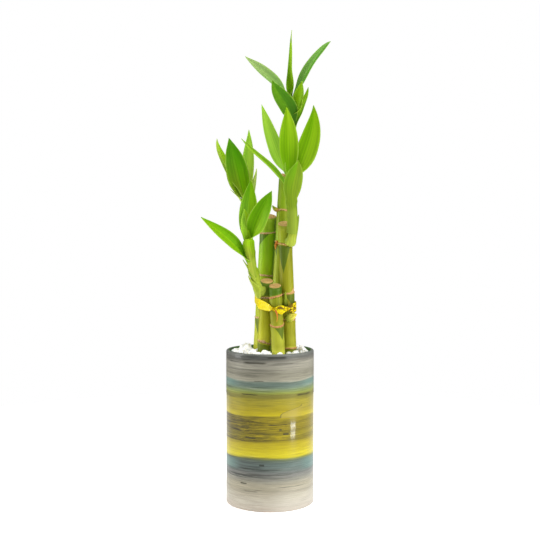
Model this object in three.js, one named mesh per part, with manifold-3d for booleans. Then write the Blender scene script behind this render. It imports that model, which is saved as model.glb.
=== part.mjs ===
// Lucky bamboo: five cut canes with four leafy shoots, tied with a ribbon and standing in a glazed
// cylinder vase filled with white pebbles. Millimetres, +Z up, origin at the centre of the vase's base,
// with the front of the arrangement facing -Y.
import * as THREE from "three";
import { mergeVertices } from "three/addons/utils/BufferGeometryUtils.js";
import Module from "manifold-3d";

const wasm = await Module();
wasm.setup();

// Driving dimensions.
const VASE = { radius: 40, height: 140, wall: 3.5, floor: 6, foot: 1.6, lip: 1.6 };
const GAP = 0.3; // clearance between neighbouring pieces
const BED_TOP = 134.8;
const LEAF_THICKNESS = 0.6;
const SHEATH_HALF_ANGLE = THREE.MathUtils.degToRad(105);
const ROUND = { vase: 32, cane: 14, stem: 8 };
const RING = { half: 1.1, proud: 0.55, waist: 0.25 }; // a cane's node ring

// Each cane runs straight from base to top, and its cut end rises towards the back by "slope". Rings are
// the nodes above the pebbles: height, then the rise of the ring's plane towards +X and towards the back.
const CANES = [
  { name: "cane_back_left", base: [-15.2, 13, 7], top: [-1.1, 12.5, 261.4], radii: [7.7, 7.3], slope: 0.3,
    rings: [[168, 0, 0], [207.5, -0.08, 0], [246.5, 0.05, 0]] },
  { name: "cane_tallest", base: [-2.5, 6, 7], top: [13.7, 6, 299], radii: [6.1, 5.4], slope: 0.3,
    rings: [[148, 0, 0], [196, 0, 0], [238.5, 0, 0], [267, -0.08, 0]] },
  { name: "cane_left", base: [-11.4, -7, 7], top: [-2.7, -7, 203], radii: [5.9, 5.9], slope: 0.36,
    rings: [[147.5, -0.3, 0], [188.5, 0, 0]] },
  { name: "cane_front", base: [14.2, -18, 7], top: [4.5, -18, 199.3], radii: [6.6, 5.7], slope: 0.33,
    rings: [[165, 0, 0.33], [190, 0.22, 0]] },
  { name: "cane_right", base: [22.6, -5.5, 7], top: [13.1, -6, 254.7], radii: [7.2, 6.1], slope: 0.4,
    rings: [[142, 0, 0], [168, 0, 0], [191.5, 0.1, 0], [235.8, -0.2, 0]] },
];

// Each shoot's stem is one cubic curve that starts inside its cane, whose body is then cut away. The
// stem swells by "swell" where it leaves the cane.
const SHOOTS = [
  { name: "top", radius: 2, swell: 0.6,
    curve: [[15.5, 9, 287], [21.8, 14.5, 292], [19.2, 11, 335], [18.2, 9, 371]] },
  { name: "right", radius: 2.4, swell: 1.4,
    curve: [[14.8, -7, 238], [22.6, -17, 239], [19.8, -16.5, 262], [18.6, -12.5, 298]] },
  { name: "left", radius: 2.2, swell: 1.6,
    curve: [[-5, -9, 192], [-13.5, -18, 193.5], [-15.5, -19.5, 214], [-19.4, -16, 238]] },
  { name: "back", radius: 2, swell: 0.6,
    curve: [[-4, 12.5, 246.5], [-15, 10, 247.5], [-23, 7, 258], [-21.8, 8, 278]] },
];

// A leaf clasps its stem over the shares "clasp" of the stem's length, on the side given by "side",
// degrees round the stem from +X towards +Y; "layer" counts the sheaths it lies over. Its blade then
// leaves the stem by the vector "leave" and runs to the tip, arriving from "arrive". "faces" is the way
// the blade's upper side looks, "cup" its hollow as a share of its width and "twist" its turn in degrees.
// "widest" is the share of the blade's length where it is widest.
const LEAVES = [
  { name: "top_leaf_slim", shoot: "top", layer: 2, clasp: [0.5, 0.7], side: 20, leave: [1, -1.5, 15],
    tip: [35.2, 18, 379.7], arrive: [-2.5, -2, -14.5], faces: [-0.6, -0.7, 0.4], width: 9, cup: 0.7 },
  { name: "top_leaf_front", shoot: "top", layer: 1, clasp: [0.58, 0.76], side: -105, leave: [5, -5, 12],
    tip: [2.1, -12, 381.8], arrive: [4, 6.5, -13], faces: [0.2, 0.95, 0.3], width: 17.5, cup: 0.6 },
  { name: "top_leaf_short", shoot: "top", layer: 1, clasp: [0.62, 0.8], side: -30, leave: [3, -1, 10],
    tip: [28.8, -1, 382.6], arrive: [-2, 0, -12], faces: [-0.4, -0.85, 0.25], width: 12.5, cup: 0.8 },
  { name: "top_leaf_right", shoot: "top", layer: 0, clasp: [0.7, 0.87], side: -5, leave: [3.5, -1.5, 24],
    tip: [54.6, 0, 418.2], arrive: [-9, 1.5, -5], faces: [-0.6, -0.62, 0.5], width: 13, cup: 0.7 },
  { name: "top_leaf_left", shoot: "top", layer: 0, clasp: [0.86, 0.97], side: 175, leave: [-7.5, 1, 16],
    tip: [-22.6, 14, 407.2], arrive: [11.5, -1.5, -11], faces: [0.4, 0.7, 0.55], width: 12, cup: 0.9 },
  { name: "top_leaf_centre", shoot: "top", layer: -1, clasp: [0.9, 0.99], side: 80, leave: [1.5, -1.5, 19.5],
    tip: [19.7, 6, 429.6], arrive: [-2, 1.5, -19.5], faces: [-0.95, -0.3, 0.1], width: 9, cup: 0.8,
    twist: 30, widest: 0.22 },
  { name: "right_leaf_front", shoot: "right", layer: 2, clasp: [0.34, 0.7], side: -85, leave: [-3, 1.5, 17],
    tip: [24.6, -34, 309.9], arrive: [-1, 7.5, -13.5], faces: [0, 0.85, 0.5], width: 17.5, cup: 0.65 },
  { name: "right_leaf_far_left", shoot: "right", layer: 1, clasp: [0.45, 0.84], side: 195,
    leave: [-4.5, 1, 18], tip: [-25.3, -22, 329.5], arrive: [13.5, 3, -16], faces: [0.35, 0.5, 0.8],
    width: 8, cup: 0.8 },
  { name: "right_leaf_right", shoot: "right", layer: 0, clasp: [0.76, 0.9], side: 15, leave: [8, 3, 22],
    tip: [39, -7, 360.4], arrive: [3, -2, -26], faces: [-0.2, -0.97, 0.1], width: 20, cup: 1.1 },
  { name: "right_leaf_left", shoot: "right", layer: 0, clasp: [0.8, 0.94], side: 165, leave: [-9.5, 6.5, 20],
    tip: [-7.5, 2, 362], arrive: [6.5, -5, -24], faces: [0.3, 0.95, 0.1], width: 13.5, cup: 1.1 },
  { name: "right_leaf_centre", shoot: "right", layer: -1, clasp: [0.88, 0.98], side: 85,
    leave: [-3.5, -1, 20], tip: [14.6, -13, 358], arrive: [3, 1, -20.5], faces: [0, -1, 0.1],
    width: 18, cup: 1 },
  { name: "left_leaf_left", shoot: "left", layer: 1, clasp: [0.5, 0.68], side: 185, leave: [-6.5, 1, 19],
    tip: [-61, -24, 260.1], arrive: [15.5, 2, -12.5], faces: [0.45, -0.8, 0.45], width: 14, cup: 0.9 },
  { name: "left_leaf_right", shoot: "left", layer: 0, clasp: [0.8, 0.95], side: -5, leave: [3, -2, 16],
    tip: [1.6, -24, 283.5], arrive: [-7, 0.5, -15.5], faces: [-0.3, -0.95, 0.15], width: 20, cup: 0.65 },
  { name: "left_leaf_inner", shoot: "left", layer: -1, clasp: [0.9, 0.98], side: 120,
    leave: [0.5, -0.5, 9.5], tip: [-22.7, -16, 267.5], arrive: [1, 0.5, -10.5], faces: [0.15, -1, 0.1],
    width: 12, cup: 0.7 },
  { name: "left_leaf_centre", shoot: "left", layer: 0, clasp: [0.88, 0.97], side: 85, leave: [-3, 0, 20],
    tip: [-17.4, -7, 293.9], arrive: [-0.5, -2.5, -20], faces: [0.05, -1, 0.1], width: 17, cup: 0.9 },
  { name: "back_leaf_low", shoot: "back", layer: 1, clasp: [0.6, 0.76], side: 190, leave: [-1, 0, 10.5],
    tip: [-36, 0, 285.1], arrive: [6.5, 3.5, -5.5], faces: [0.3, -0.3, 0.9], width: 6, cup: 0.7 },
  { name: "back_leaf_small", shoot: "back", layer: 1, clasp: [0.56, 0.74], side: 10, leave: [2, 0, 13],
    tip: [-12.3, 16, 305.1], arrive: [-1.5, -3, -12], faces: [-0.7, -0.7, 0.3], width: 6, cup: 0.7 },
  { name: "back_leaf_left", shoot: "back", layer: 1, clasp: [0.76, 0.9], side: 175, leave: [-4, 0, 21],
    tip: [-48.7, 14, 332.3], arrive: [1, -2.5, -21], faces: [0.7, -0.6, 0.35], width: 14, cup: 0.8 },
  { name: "back_leaf_right", shoot: "back", layer: 0, clasp: [0.8, 0.92], side: 70, leave: [-2, 3, 20],
    tip: [-19.5, 19, 340.8], arrive: [1, -3, -22], faces: [0.1, -0.98, 0.1], width: 12, cup: 1.1 },
  { name: "back_leaf_front", shoot: "back", layer: -1, clasp: [0.84, 0.97], side: 110, leave: [-7, -3.5, 15],
    tip: [-37.1, -3, 331.5], arrive: [5, 4, -18.5], faces: [0.2, -0.95, 0.2], width: 22, cup: 1 },
];

// Bracts are sheaths without a blade. They keep hugging the stem and end in a tip; "point" is the
// power of their taper, small for a blunt end. "hold" is the share of a full clasp at a bract's foot, and
// "flare" how much further out its mouth stands than its foot.
const BRACTS = [
  { name: "right_bract", shoot: "right", layer: 2, clasp: [0.12, 0.3], side: -30, leave: [1.2, 0, 5],
    tip: [25.6, -14.5, 262.5], arrive: [-0.5, -0.5, -6], point: 1 },
  { name: "left_bract_base", shoot: "left", layer: 2, clasp: [0.1, 0.27], side: 205, leave: [-0.5, -1, 5],
    tip: [-19.1, -19, 208.2], arrive: [0.5, 0, -5], point: 0.9, hold: 0.5 },
  { name: "left_bract_low", shoot: "left", layer: 1, clasp: [0.2, 0.4], side: 185, leave: [-0.5, -1, 6],
    tip: [-19.6, -18, 212.6], arrive: [0.5, 0, -5], point: 0.9, hold: 0.6 },
  { name: "left_bract_right", shoot: "left", layer: 1, clasp: [0.12, 0.38], side: -45, leave: [0, 0, 5],
    tip: [-12.2, -19.6, 216.2], arrive: [0.5, 0, -4], point: 0.9, hold: 0.8 },
  { name: "left_bract_high", shoot: "left", layer: 1, clasp: [0.34, 0.52], side: 190, leave: [-1, 0, 6],
    tip: [-24.2, -17.5, 222.4], arrive: [2.5, 0, -5], point: 0.9, hold: 0.6 },
  { name: "left_bract_back", shoot: "left", layer: 0, clasp: [0.45, 0.7], side: 30, leave: [0, 0.5, 5],
    tip: [-13.5, -14.5, 230.9], arrive: [0.5, -0.5, -4], point: 0.9 },
  { name: "left_bract_front", shoot: "left", layer: 1, clasp: [0.5, 0.8], side: -80, leave: [-0.5, 0.5, 6],
    tip: [-18.6, -24, 241], arrive: [0, 1, -6], point: 0.22, hold: 0.22, flare: 1.1 },
];

// Buds and aerial roots: short tapered growths from a cane, with their thickest radius.
const BUDS = [
  { name: "tallest_cane_bud", radius: 1.9,
    curve: [[9, 4.4, 266.5], [5, 3, 266.5], [3.4, 2.2, 268.5], [2.2, 2, 271]] },
  { name: "tallest_cane_root", radius: 1.5,
    curve: [[9.5, 2.6, 238], [6, 0.8, 238], [4.8, -0.2, 235], [5.1, -0.4, 230.5]] },
  { name: "right_cane_bud", radius: 3.7,
    curve: [[16.5, -8, 169], [16.5, -13, 169.5], [20, -14.5, 170.5], [24, -13.5, 173.5]] },
  { name: "gap_bud", radius: 2.5,
    curve: [[14.5, -9, 178], [12.8, -13.5, 181], [13.4, -14.2, 187], [13.8, -14, 193.5]] },
  { name: "front_cane_root", radius: 0.8,
    curve: [[3.4, -21.5, 179.5], [4.6, -28, 179], [8.2, -27, 172.5], [5.6, -24.4, 167.3]] },
];

// Loose pebbles on the bed: place, width, depth, height and turn.
const STONES = [
  { at: [-21, -6], size: [13, 11, 9.5], turn: 20 },
  { at: [-24, 9], size: [11, 12, 9], turn: -35 },
  { at: [-15.5, -20], size: [9, 8, 7.5], turn: 50 },
  { at: [-27, -16.5], size: [7.5, 8.4, 7], turn: 10 },
  { at: [-5.5, -22.5], size: [8, 7.5, 7], turn: -20 },
  { at: [-1.5, -31], size: [6.4, 5.5, 6.5], turn: 0 },
  { at: [-11, -30.5], size: [6.6, 6, 6.5], turn: 30 },
  { at: [29.5, 5], size: [8, 11, 7.5], turn: 15 },
  { at: [23, 18.5], size: [11, 9, 8.5], turn: -40 },
  { at: [9.5, 26.5], size: [11, 9, 8], turn: 5 },
  { at: [-7.5, 29], size: [10, 9, 8], turn: -15 },
  { at: [-21.5, 22.5], size: [9.6, 8.5, 8.5], turn: 40 },
  { at: [23, -21], size: [7.6, 7, 6.5], turn: 25 },
  { at: [9, -30.5], size: [6.8, 6, 6], turn: -10 },
];

// The ribbon passes round all five canes on a tilted loop. Its width and how far it stands proud
// change round the bundle: angle in degrees from +X, width and bulge in mm.
const RIBBON = { z: 183, tilt: [-0.1, 0.155], thickness: 0.6, clearance: 0.9 };
const RIBBON_WIDTHS = [
  [-180, 9.2, 0], [-150, 9.4, 0.2], [-112, 8, 0.3], [-100, 6.5, 0.4], [-88, 2.8, 0.8], [-70, 8, 2],
  [-49, 3, 1], [-30, 8.6, 1.2], [-5, 7.5, 0.3], [90, 8, 0], [180, 9.2, 0],
];

// ---- solids and booleans ----

function toSolid(geometry, matrix) {
  const bare = new THREE.BufferGeometry();
  bare.setAttribute("position", geometry.getAttribute("position").clone());
  if (geometry.index) bare.setIndex(geometry.index);
  if (matrix) bare.applyMatrix4(matrix);
  const merged = mergeVertices(bare, 1e-3);
  return new wasm.Manifold(new wasm.Mesh({
    numProp: 3,
    vertProperties: merged.getAttribute("position").array,
    triVerts: new Uint32Array(merged.index.array),
  }));
}

function toGeometry(solid) {
  const mesh = solid.getMesh();
  const geometry = new THREE.BufferGeometry();
  geometry.setAttribute("position", new THREE.BufferAttribute(mesh.vertProperties, 3));
  geometry.setIndex(new THREE.BufferAttribute(mesh.triVerts, 1));
  geometry.computeVertexNormals();
  return geometry;
}

function largestBody(solid) {
  return solid.decompose().reduce((best, body) => (body.volume() > best.volume() ? body : best));
}

// Cuts each neighbour that touches the solid away from it and keeps the largest piece.
function clearOf(solid, neighbours) {
  const cut = neighbours.reduce((left, other) => left.subtract(other), solid);
  return largestBody(largestBody(cut).simplify(0.02));
}

function finish(name, solidOrGeometry, colour, roughness) {
  const geometry = solidOrGeometry.isBufferGeometry ? solidOrGeometry : toGeometry(solidOrGeometry);
  const material = new THREE.MeshStandardMaterial({ color: colour, roughness, metalness: 0 });
  const mesh = new THREE.Mesh(geometry, material);
  mesh.name = name;
  return mesh;
}

const vector = (numbers) => new THREE.Vector3(...numbers);
const bezier = (points) => new THREE.CubicBezierCurve3(...points.map(vector));
const smooth = (t) => THREE.MathUtils.smoothstep(t, 0, 1);

// A lathe turned to stand along +Z.
function latheUp(profile, segments) {
  const points = profile.map(([r, z]) => new THREE.Vector2(r, z));
  return new THREE.LatheGeometry(points, segments).rotateX(Math.PI / 2);
}

// ---- vase ----

function vaseGeometry() {
  const { radius, height, wall, floor, foot, lip } = VASE;
  const inner = radius - wall;
  return latheUp([
    [0, 0], [radius - foot, 0], [radius, foot], [radius, height - lip],
    [radius - 0.5 * lip, height - 0.2 * lip], [radius - wall / 2, height],
    [inner + 0.3 * lip, height - 0.3 * lip], [inner, height - lip],
    [inner, floor + 4], [inner - 4, floor], [0, floor],
  ], ROUND.vase);
}

// ---- canes ----

function caneGeometry({ base, top, radii, rings, slope }, grow = 0) {
  const axis = vector(top).sub(vector(base));
  const length = axis.length();
  const radiusAt = (h) => THREE.MathUtils.lerp(radii[0], radii[1], h / length) + grow;
  const profile = [[0, -grow], [radiusAt(0), -grow]];
  for (const [z] of rings) {
    const h = z - base[2];
    const crest = radiusAt(h) + RING.proud;
    profile.push([radiusAt(h) - RING.waist * 0.4, h - 2.6 * RING.half], [crest, h - RING.half * 0.5],
      [crest, h + RING.half * 0.5], [radiusAt(h) - RING.waist, h + 1.8 * RING.half]);
  }
  const cut = length + grow;
  profile.push([radiusAt(length), length - 0.6], [radiusAt(length) - 0.6, cut], [0, cut]);
  const geometry = latheUp(profile, ROUND.cane);
  const position = geometry.getAttribute("position");
  for (let i = 0; i < position.count; i++) {
    const [x, y, h] = [position.getX(i), position.getY(i), position.getZ(i)];
    const ring = rings.find(([z]) => Math.abs(h + base[2] - z) < 3 * RING.half);
    const lift = h > length - 1 ? y * slope : ring ? x * ring[1] + y * ring[2] : 0;
    position.setZ(i, h + lift);
  }
  return geometry;
}

function standCane(cane, object) {
  const axis = vector(cane.top).sub(vector(cane.base)).normalize();
  object.quaternion.setFromUnitVectors(new THREE.Vector3(0, 0, 1), axis);
  object.position.copy(vector(cane.base));
  object.updateMatrix();
  return object;
}

// The cane's own space, grown by the clearance, for cutting its neighbours.
function grownCane(cane, grow = GAP) {
  const place = standCane(cane, new THREE.Object3D());
  return toSolid(caneGeometry(cane, grow), place.matrix);
}

// ---- stems, buds and roots: a tapered tube bent along a curve ----

function bentTube(curve, radiusAt, around = ROUND.stem, along = 8, longer = 0) {
  const geometry = new THREE.CylinderGeometry(1, 1, 1, around, along);
  const position = geometry.getAttribute("position");
  const side = new THREE.Vector3(0, 1, 0);
  for (let i = 0; i < position.count; i++) {
    const t = position.getY(i) + 0.5;
    const tangent = curve.getTangent(t);
    const across = new THREE.Vector3().crossVectors(side, tangent).normalize();
    const over = new THREE.Vector3().crossVectors(tangent, across);
    const point = curve.getPoint(t).addScaledVector(tangent, t > 0.999 ? longer : 0);
    point.addScaledVector(across, -position.getX(i) * radiusAt(t));
    point.addScaledVector(over, position.getZ(i) * radiusAt(t));
    position.setXYZ(i, point.x, point.y, point.z);
  }
  return geometry;
}

function stemRadius(shoot, t) {
  return shoot.radius * (1.35 - 0.75 * Math.sqrt(t)) + shoot.swell * Math.exp(-(((t - 0.12) / 0.08) ** 2));
}

function stemSolid(shoot, grow = 0) {
  return toSolid(bentTube(bezier(shoot.curve), (t) => stemRadius(shoot, t) + grow, ROUND.stem, 8, grow));
}

function budSolid(bud) {
  const radiusAt = (t) => bud.radius * (0.1 + 0.95 * Math.sin(Math.PI * (0.28 + 0.7 * t)));
  return toSolid(bentTube(bezier(bud.curve), radiusAt, 7, 6));
}

// ---- leaves and bracts ----

// A blade's width along its length, as a share of its widest: narrow at the base, pointed at the tip.
function bladeShape(v, widest = 0.45) {
  const shape = (x) => x ** (2 * widest) * (1 - x) ** (2 - 2 * widest);
  return shape(THREE.MathUtils.clamp(v, 0, 1)) / shape(widest);
}

// The rows a leaf is built from: -1 is the foot of its sheath, 0 its mouth and 1 the tip of the blade.
const BLADE_ROWS = [-1, -0.5, 0, 0.07, 0.16, 0.3, 0.48, 0.68, 0.86, 1];
const BRACT_ROWS = [-1, -0.5, 0, 0.3, 0.65, 1];

// The leaf's surface at a row: across runs from -1 to 1 and depth along the upper side's normal.
function leafSurface(leaf, grow = 0) {
  const shoot = SHOOTS.find((s) => s.name === leaf.shoot);
  const stem = bezier(shoot.curve);
  const angle = THREE.MathUtils.degToRad(leaf.side);
  const outward = new THREE.Vector3(Math.cos(angle), Math.sin(angle), 0);
  const [foot, mouth] = leaf.clasp;
  const { hold = 1, flare = 0 } = leaf;
  const claspRadius = (t) => stemRadius(shoot, t) + (leaf.layer < 0 ? 0.6 : 0.65 + 0.95 * leaf.layer)
    + (flare * (t - foot)) / (mouth - foot);
  const sheathFrame = (t) => {
    const tangent = stem.getTangent(t);
    const away = outward.clone().addScaledVector(tangent, -outward.dot(tangent)).normalize();
    const point = stem.getPoint(t).addScaledVector(away, claspRadius(t));
    return { point, tangent, inward: away.clone().negate() };
  };
  const start = sheathFrame(mouth);
  const tip = vector(leaf.tip);
  const blade = new THREE.CubicBezierCurve3(start.point, start.point.clone().add(vector(leaf.leave)),
    tip.clone().add(vector(leaf.arrive)), tip);
  const sheathWidth = 2 * SHEATH_HALF_ANGLE * claspRadius(mouth);
  const faces = leaf.faces ? vector(leaf.faces).normalize() : start.inward;
  const twist = THREE.MathUtils.degToRad(leaf.twist ?? 0);
  const bladeFrame = (v) => {
    const tangent = start.tangent.clone().lerp(blade.getTangent(v), smooth(v / 0.12)).normalize();
    const inward = start.inward.clone().lerp(faces, smooth(v / 0.45));
    inward.addScaledVector(tangent, -inward.dot(tangent)).normalize();
    return { point: blade.getPoint(v), tangent, inward: inward.applyAxisAngle(tangent, twist * smooth(v)) };
  };
  return (row, across, depth) => {
    const v = Math.max(row, 0);
    const t = THREE.MathUtils.lerp(foot, mouth, 1 + Math.min(row, 0));
    const frame = row > 0 ? bladeFrame(v) : sheathFrame(t);
    let curl = claspRadius(t) * (1 + 0.4 * v);
    const held = THREE.MathUtils.lerp(hold, 1, 1 + Math.min(row, 0));
    let width = row > 0 ? sheathWidth * (1 - v) ** leaf.point + 0.6 : 2 * SHEATH_HALF_ANGLE * curl * held;
    if (row > 0 && !leaf.point) {
      width = sheathWidth * (1 - smooth(v / 0.16)) + leaf.width * bladeShape(v, leaf.widest) + 0.5;
      curl = THREE.MathUtils.lerp(claspRadius(mouth), leaf.cup * leaf.width, smooth(v / 0.35));
    }
    const lateral = new THREE.Vector3().crossVectors(frame.inward, frame.tangent);
    const bend = ((across * width) / 2 + Math.trunc(across * 1.0001) * grow) / curl;
    const reach = curl - depth;
    return frame.point.clone().addScaledVector(frame.tangent, Math.trunc(row) * grow)
      .addScaledVector(lateral, Math.sin(bend) * reach)
      .addScaledVector(frame.inward, curl - Math.cos(bend) * reach);
  };
}

// Splits the quads of a box's -Z face along the same diagonals as its +Z face, so that a thin slab can
// be twisted without its two faces crossing.
function matchDiagonals(geometry) {
  const { start, count } = geometry.groups[5];
  for (let i = start; i < start + count; i += 6) {
    const [a, b, d, , c] = geometry.index.array.slice(i, i + 6);
    geometry.index.array.set([a, b, c, a, c, d], i);
  }
  return geometry;
}

function leafSolid(leaf, grow = 0) {
  const surface = leafSurface(leaf, grow);
  const rows = leaf.point ? BRACT_ROWS : BLADE_ROWS;
  const last = rows.length - 1;
  const geometry = matchDiagonals(new THREE.BoxGeometry(1, 1, 1, last, 5, 1));
  const position = geometry.getAttribute("position");
  for (let i = 0; i < position.count; i++) {
    const depth = position.getZ(i) * (LEAF_THICKNESS + 2 * grow);
    const row = rows[Math.round((position.getX(i) + 0.5) * last)];
    const place = surface(row, 2 * position.getY(i), depth);
    position.setXYZ(i, place.x, place.y, place.z);
  }
  return toSolid(geometry);
}

// ---- pebbles ----

function placeStone(stone, mesh) {
  mesh.position.set(...stone.at, BED_TOP + GAP + stone.size[2] / 2);
  mesh.rotation.z = THREE.MathUtils.degToRad(stone.turn);
  return mesh;
}

function bedSolid() {
  const inner = VASE.radius - VASE.wall - GAP;
  const floor = VASE.floor + GAP;
  const bed = toSolid(latheUp([[0, floor], [inner - 4, floor], [inner, floor + 4], [inner, BED_TOP - 1],
    [inner - 1, BED_TOP], [0, BED_TOP]], ROUND.vase));
  return clearOf(bed, CANES.map((cane) => grownCane({ ...cane, rings: [] })));
}

// ---- ribbon ----

function ribbonRow(angle) {
  const degrees = THREE.MathUtils.radToDeg(Math.atan2(Math.sin(angle), Math.cos(angle)));
  const next = Math.max(RIBBON_WIDTHS.findIndex((row) => row[0] >= degrees), 1);
  const [a, b] = [RIBBON_WIDTHS[next - 1], RIBBON_WIDTHS[next]];
  const share = smooth((degrees - a[0]) / (b[0] - a[0]));
  return { width: THREE.MathUtils.lerp(a[1], b[1], share), bulge: THREE.MathUtils.lerp(a[2], b[2], share) };
}

// A point on the line drawn tight round the canes, seen from the middle of the bundle.
const BUNDLE_CENTRE = new THREE.Vector2(2, -3);
function bundlePoint(angle, offset) {
  const way = new THREE.Vector2(Math.cos(angle), Math.sin(angle));
  const reach = CANES.flatMap((cane) => {
    const share = (RIBBON.z - cane.base[2]) / (cane.top[2] - cane.base[2]);
    const centre = vector(cane.base).lerp(vector(cane.top), share);
    const radius = THREE.MathUtils.lerp(...cane.radii, share) + offset;
    return Array.from({ length: 24 }, (_, i) => {
      const turn = (i / 24) * 2 * Math.PI;
      const rim = new THREE.Vector2(centre.x + radius * Math.cos(turn), centre.y + radius * Math.sin(turn));
      return rim.sub(BUNDLE_CENTRE);
    });
  });
  // The tight line's distance along the way is where the segment between two of these points crosses it.
  let furthest = 0;
  for (const p of reach) {
    for (const q of reach) {
      const [a, b] = [way.cross(p), way.cross(q)];
      if (a <= 0 && b > 0) furthest = Math.max(furthest, way.dot(p.clone().lerp(q, a / (a - b))));
    }
  }
  return BUNDLE_CENTRE.clone().addScaledVector(way, furthest);
}

function ribbonSolid() {
  const steps = 44;
  const angles = Array.from({ length: steps }, (_, i) => -Math.PI + (2 * Math.PI * (i + 0.5)) / steps);
  const standoff = (a) => RIBBON.clearance + ribbonRow(a).bulge;
  const outline = (extra) => angles.map((a) => bundlePoint(a, standoff(a) + extra));
  const shape = new THREE.Shape(outline(RIBBON.thickness));
  shape.holes.push(new THREE.Path(outline(0)));
  const geometry = new THREE.ExtrudeGeometry(shape, { depth: 1, bevelEnabled: false });
  const position = geometry.getAttribute("position");
  for (let i = 0; i < position.count; i++) {
    const [x, y] = [position.getX(i), position.getY(i)];
    const { width } = ribbonRow(Math.atan2(y - BUNDLE_CENTRE.y, x - BUNDLE_CENTRE.x));
    const middle = RIBBON.z + RIBBON.tilt[0] * x + RIBBON.tilt[1] * y;
    position.setZ(i, middle + (position.getZ(i) - 0.5) * width);
  }
  return toSolid(geometry);
}

// ---- assembly ----

const part = new THREE.Group();
const holder = new THREE.Group();
const bundle = new THREE.Group();
const foliage = new THREE.Group();
part.add(holder, bundle, foliage);

holder.add(finish("vase", vaseGeometry(), 0xb9b48a, 0.35));
holder.add(finish("pebble_bed", bedSolid(), 0xf2f0ea, 0.6));
STONES.forEach((stone, i) => {
  const geometry = new THREE.IcosahedronGeometry(0.5, 1).scale(...stone.size);
  const mesh = finish(`pebble_${String(i + 1).padStart(2, "0")}`, geometry, 0xf7f5f0, 0.5);
  holder.add(placeStone(stone, mesh));
});

for (const cane of CANES) {
  bundle.add(standCane(cane, finish(cane.name, caneGeometry(cane), 0x9aad3a, 0.45)));
}
const ribbon = ribbonSolid();
bundle.add(finish("ribbon_tie", ribbon, 0xffe010, 0.3));

// Every later piece is cut clear of the canes and of the pieces placed before it.
const placed = CANES.map((cane) => grownCane(cane));
for (const bud of BUDS) {
  const solid = clearOf(budSolid(bud), [...placed, ribbon]);
  foliage.add(finish(bud.name, solid, bud.name.endsWith("root") ? 0xc77a4a : 0x8dbb33, 0.5));
}
for (const shoot of SHOOTS) {
  foliage.add(finish(`${shoot.name}_shoot_stem`, clearOf(stemSolid(shoot), placed), 0x9cc447, 0.5));
  placed.push(stemSolid(shoot, GAP));
}
for (const leaf of [...BRACTS, ...LEAVES].reverse()) {
  foliage.add(finish(leaf.name, clearOf(leafSolid(leaf), placed), leaf.point ? 0x9fce4a : 0x6db61a, 0.4));
  placed.push(leafSolid(leaf, GAP + 0.1));
}

export default part;
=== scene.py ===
"""Lucky bamboo in its vase: five tied canes with four leafy shoots, standing in a striped glazed
cylinder of white pebbles. Lengths in the tables below are millimetres, +Z up, the front facing -Y."""
import math
import random

import bmesh
import bpy
from bpy.props import FloatProperty, FloatVectorProperty, IntProperty, PointerProperty
from mathutils import Matrix, Vector, noise


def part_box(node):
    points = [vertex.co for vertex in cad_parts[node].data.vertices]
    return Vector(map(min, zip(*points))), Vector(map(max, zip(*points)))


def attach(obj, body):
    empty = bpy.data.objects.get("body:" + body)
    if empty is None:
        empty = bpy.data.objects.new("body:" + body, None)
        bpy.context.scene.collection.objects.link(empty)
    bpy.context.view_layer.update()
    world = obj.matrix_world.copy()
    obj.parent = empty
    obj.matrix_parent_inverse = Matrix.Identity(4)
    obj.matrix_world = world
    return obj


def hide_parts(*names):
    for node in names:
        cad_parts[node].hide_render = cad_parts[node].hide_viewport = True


bl_info = {
    "name": "Lucky Bamboo Builder",
    "version": (1, 0, 0),
    "blender": (4, 5, 0),
    "location": "3D View > Sidebar > Bamboo",
    "description": "Builds a tied bundle of lucky bamboo in a glazed vase of pebbles",
    "category": "Add Mesh",
}

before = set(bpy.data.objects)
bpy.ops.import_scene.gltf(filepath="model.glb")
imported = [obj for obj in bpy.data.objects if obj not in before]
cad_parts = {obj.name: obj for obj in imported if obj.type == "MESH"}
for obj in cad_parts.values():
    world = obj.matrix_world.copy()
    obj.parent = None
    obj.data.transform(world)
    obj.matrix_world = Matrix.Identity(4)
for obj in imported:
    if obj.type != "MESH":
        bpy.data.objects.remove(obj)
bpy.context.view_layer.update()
VASE_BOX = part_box("vase")
BED_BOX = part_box("pebble_bed")
MM = 0.001

# ---- what the plant is made of ----

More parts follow.
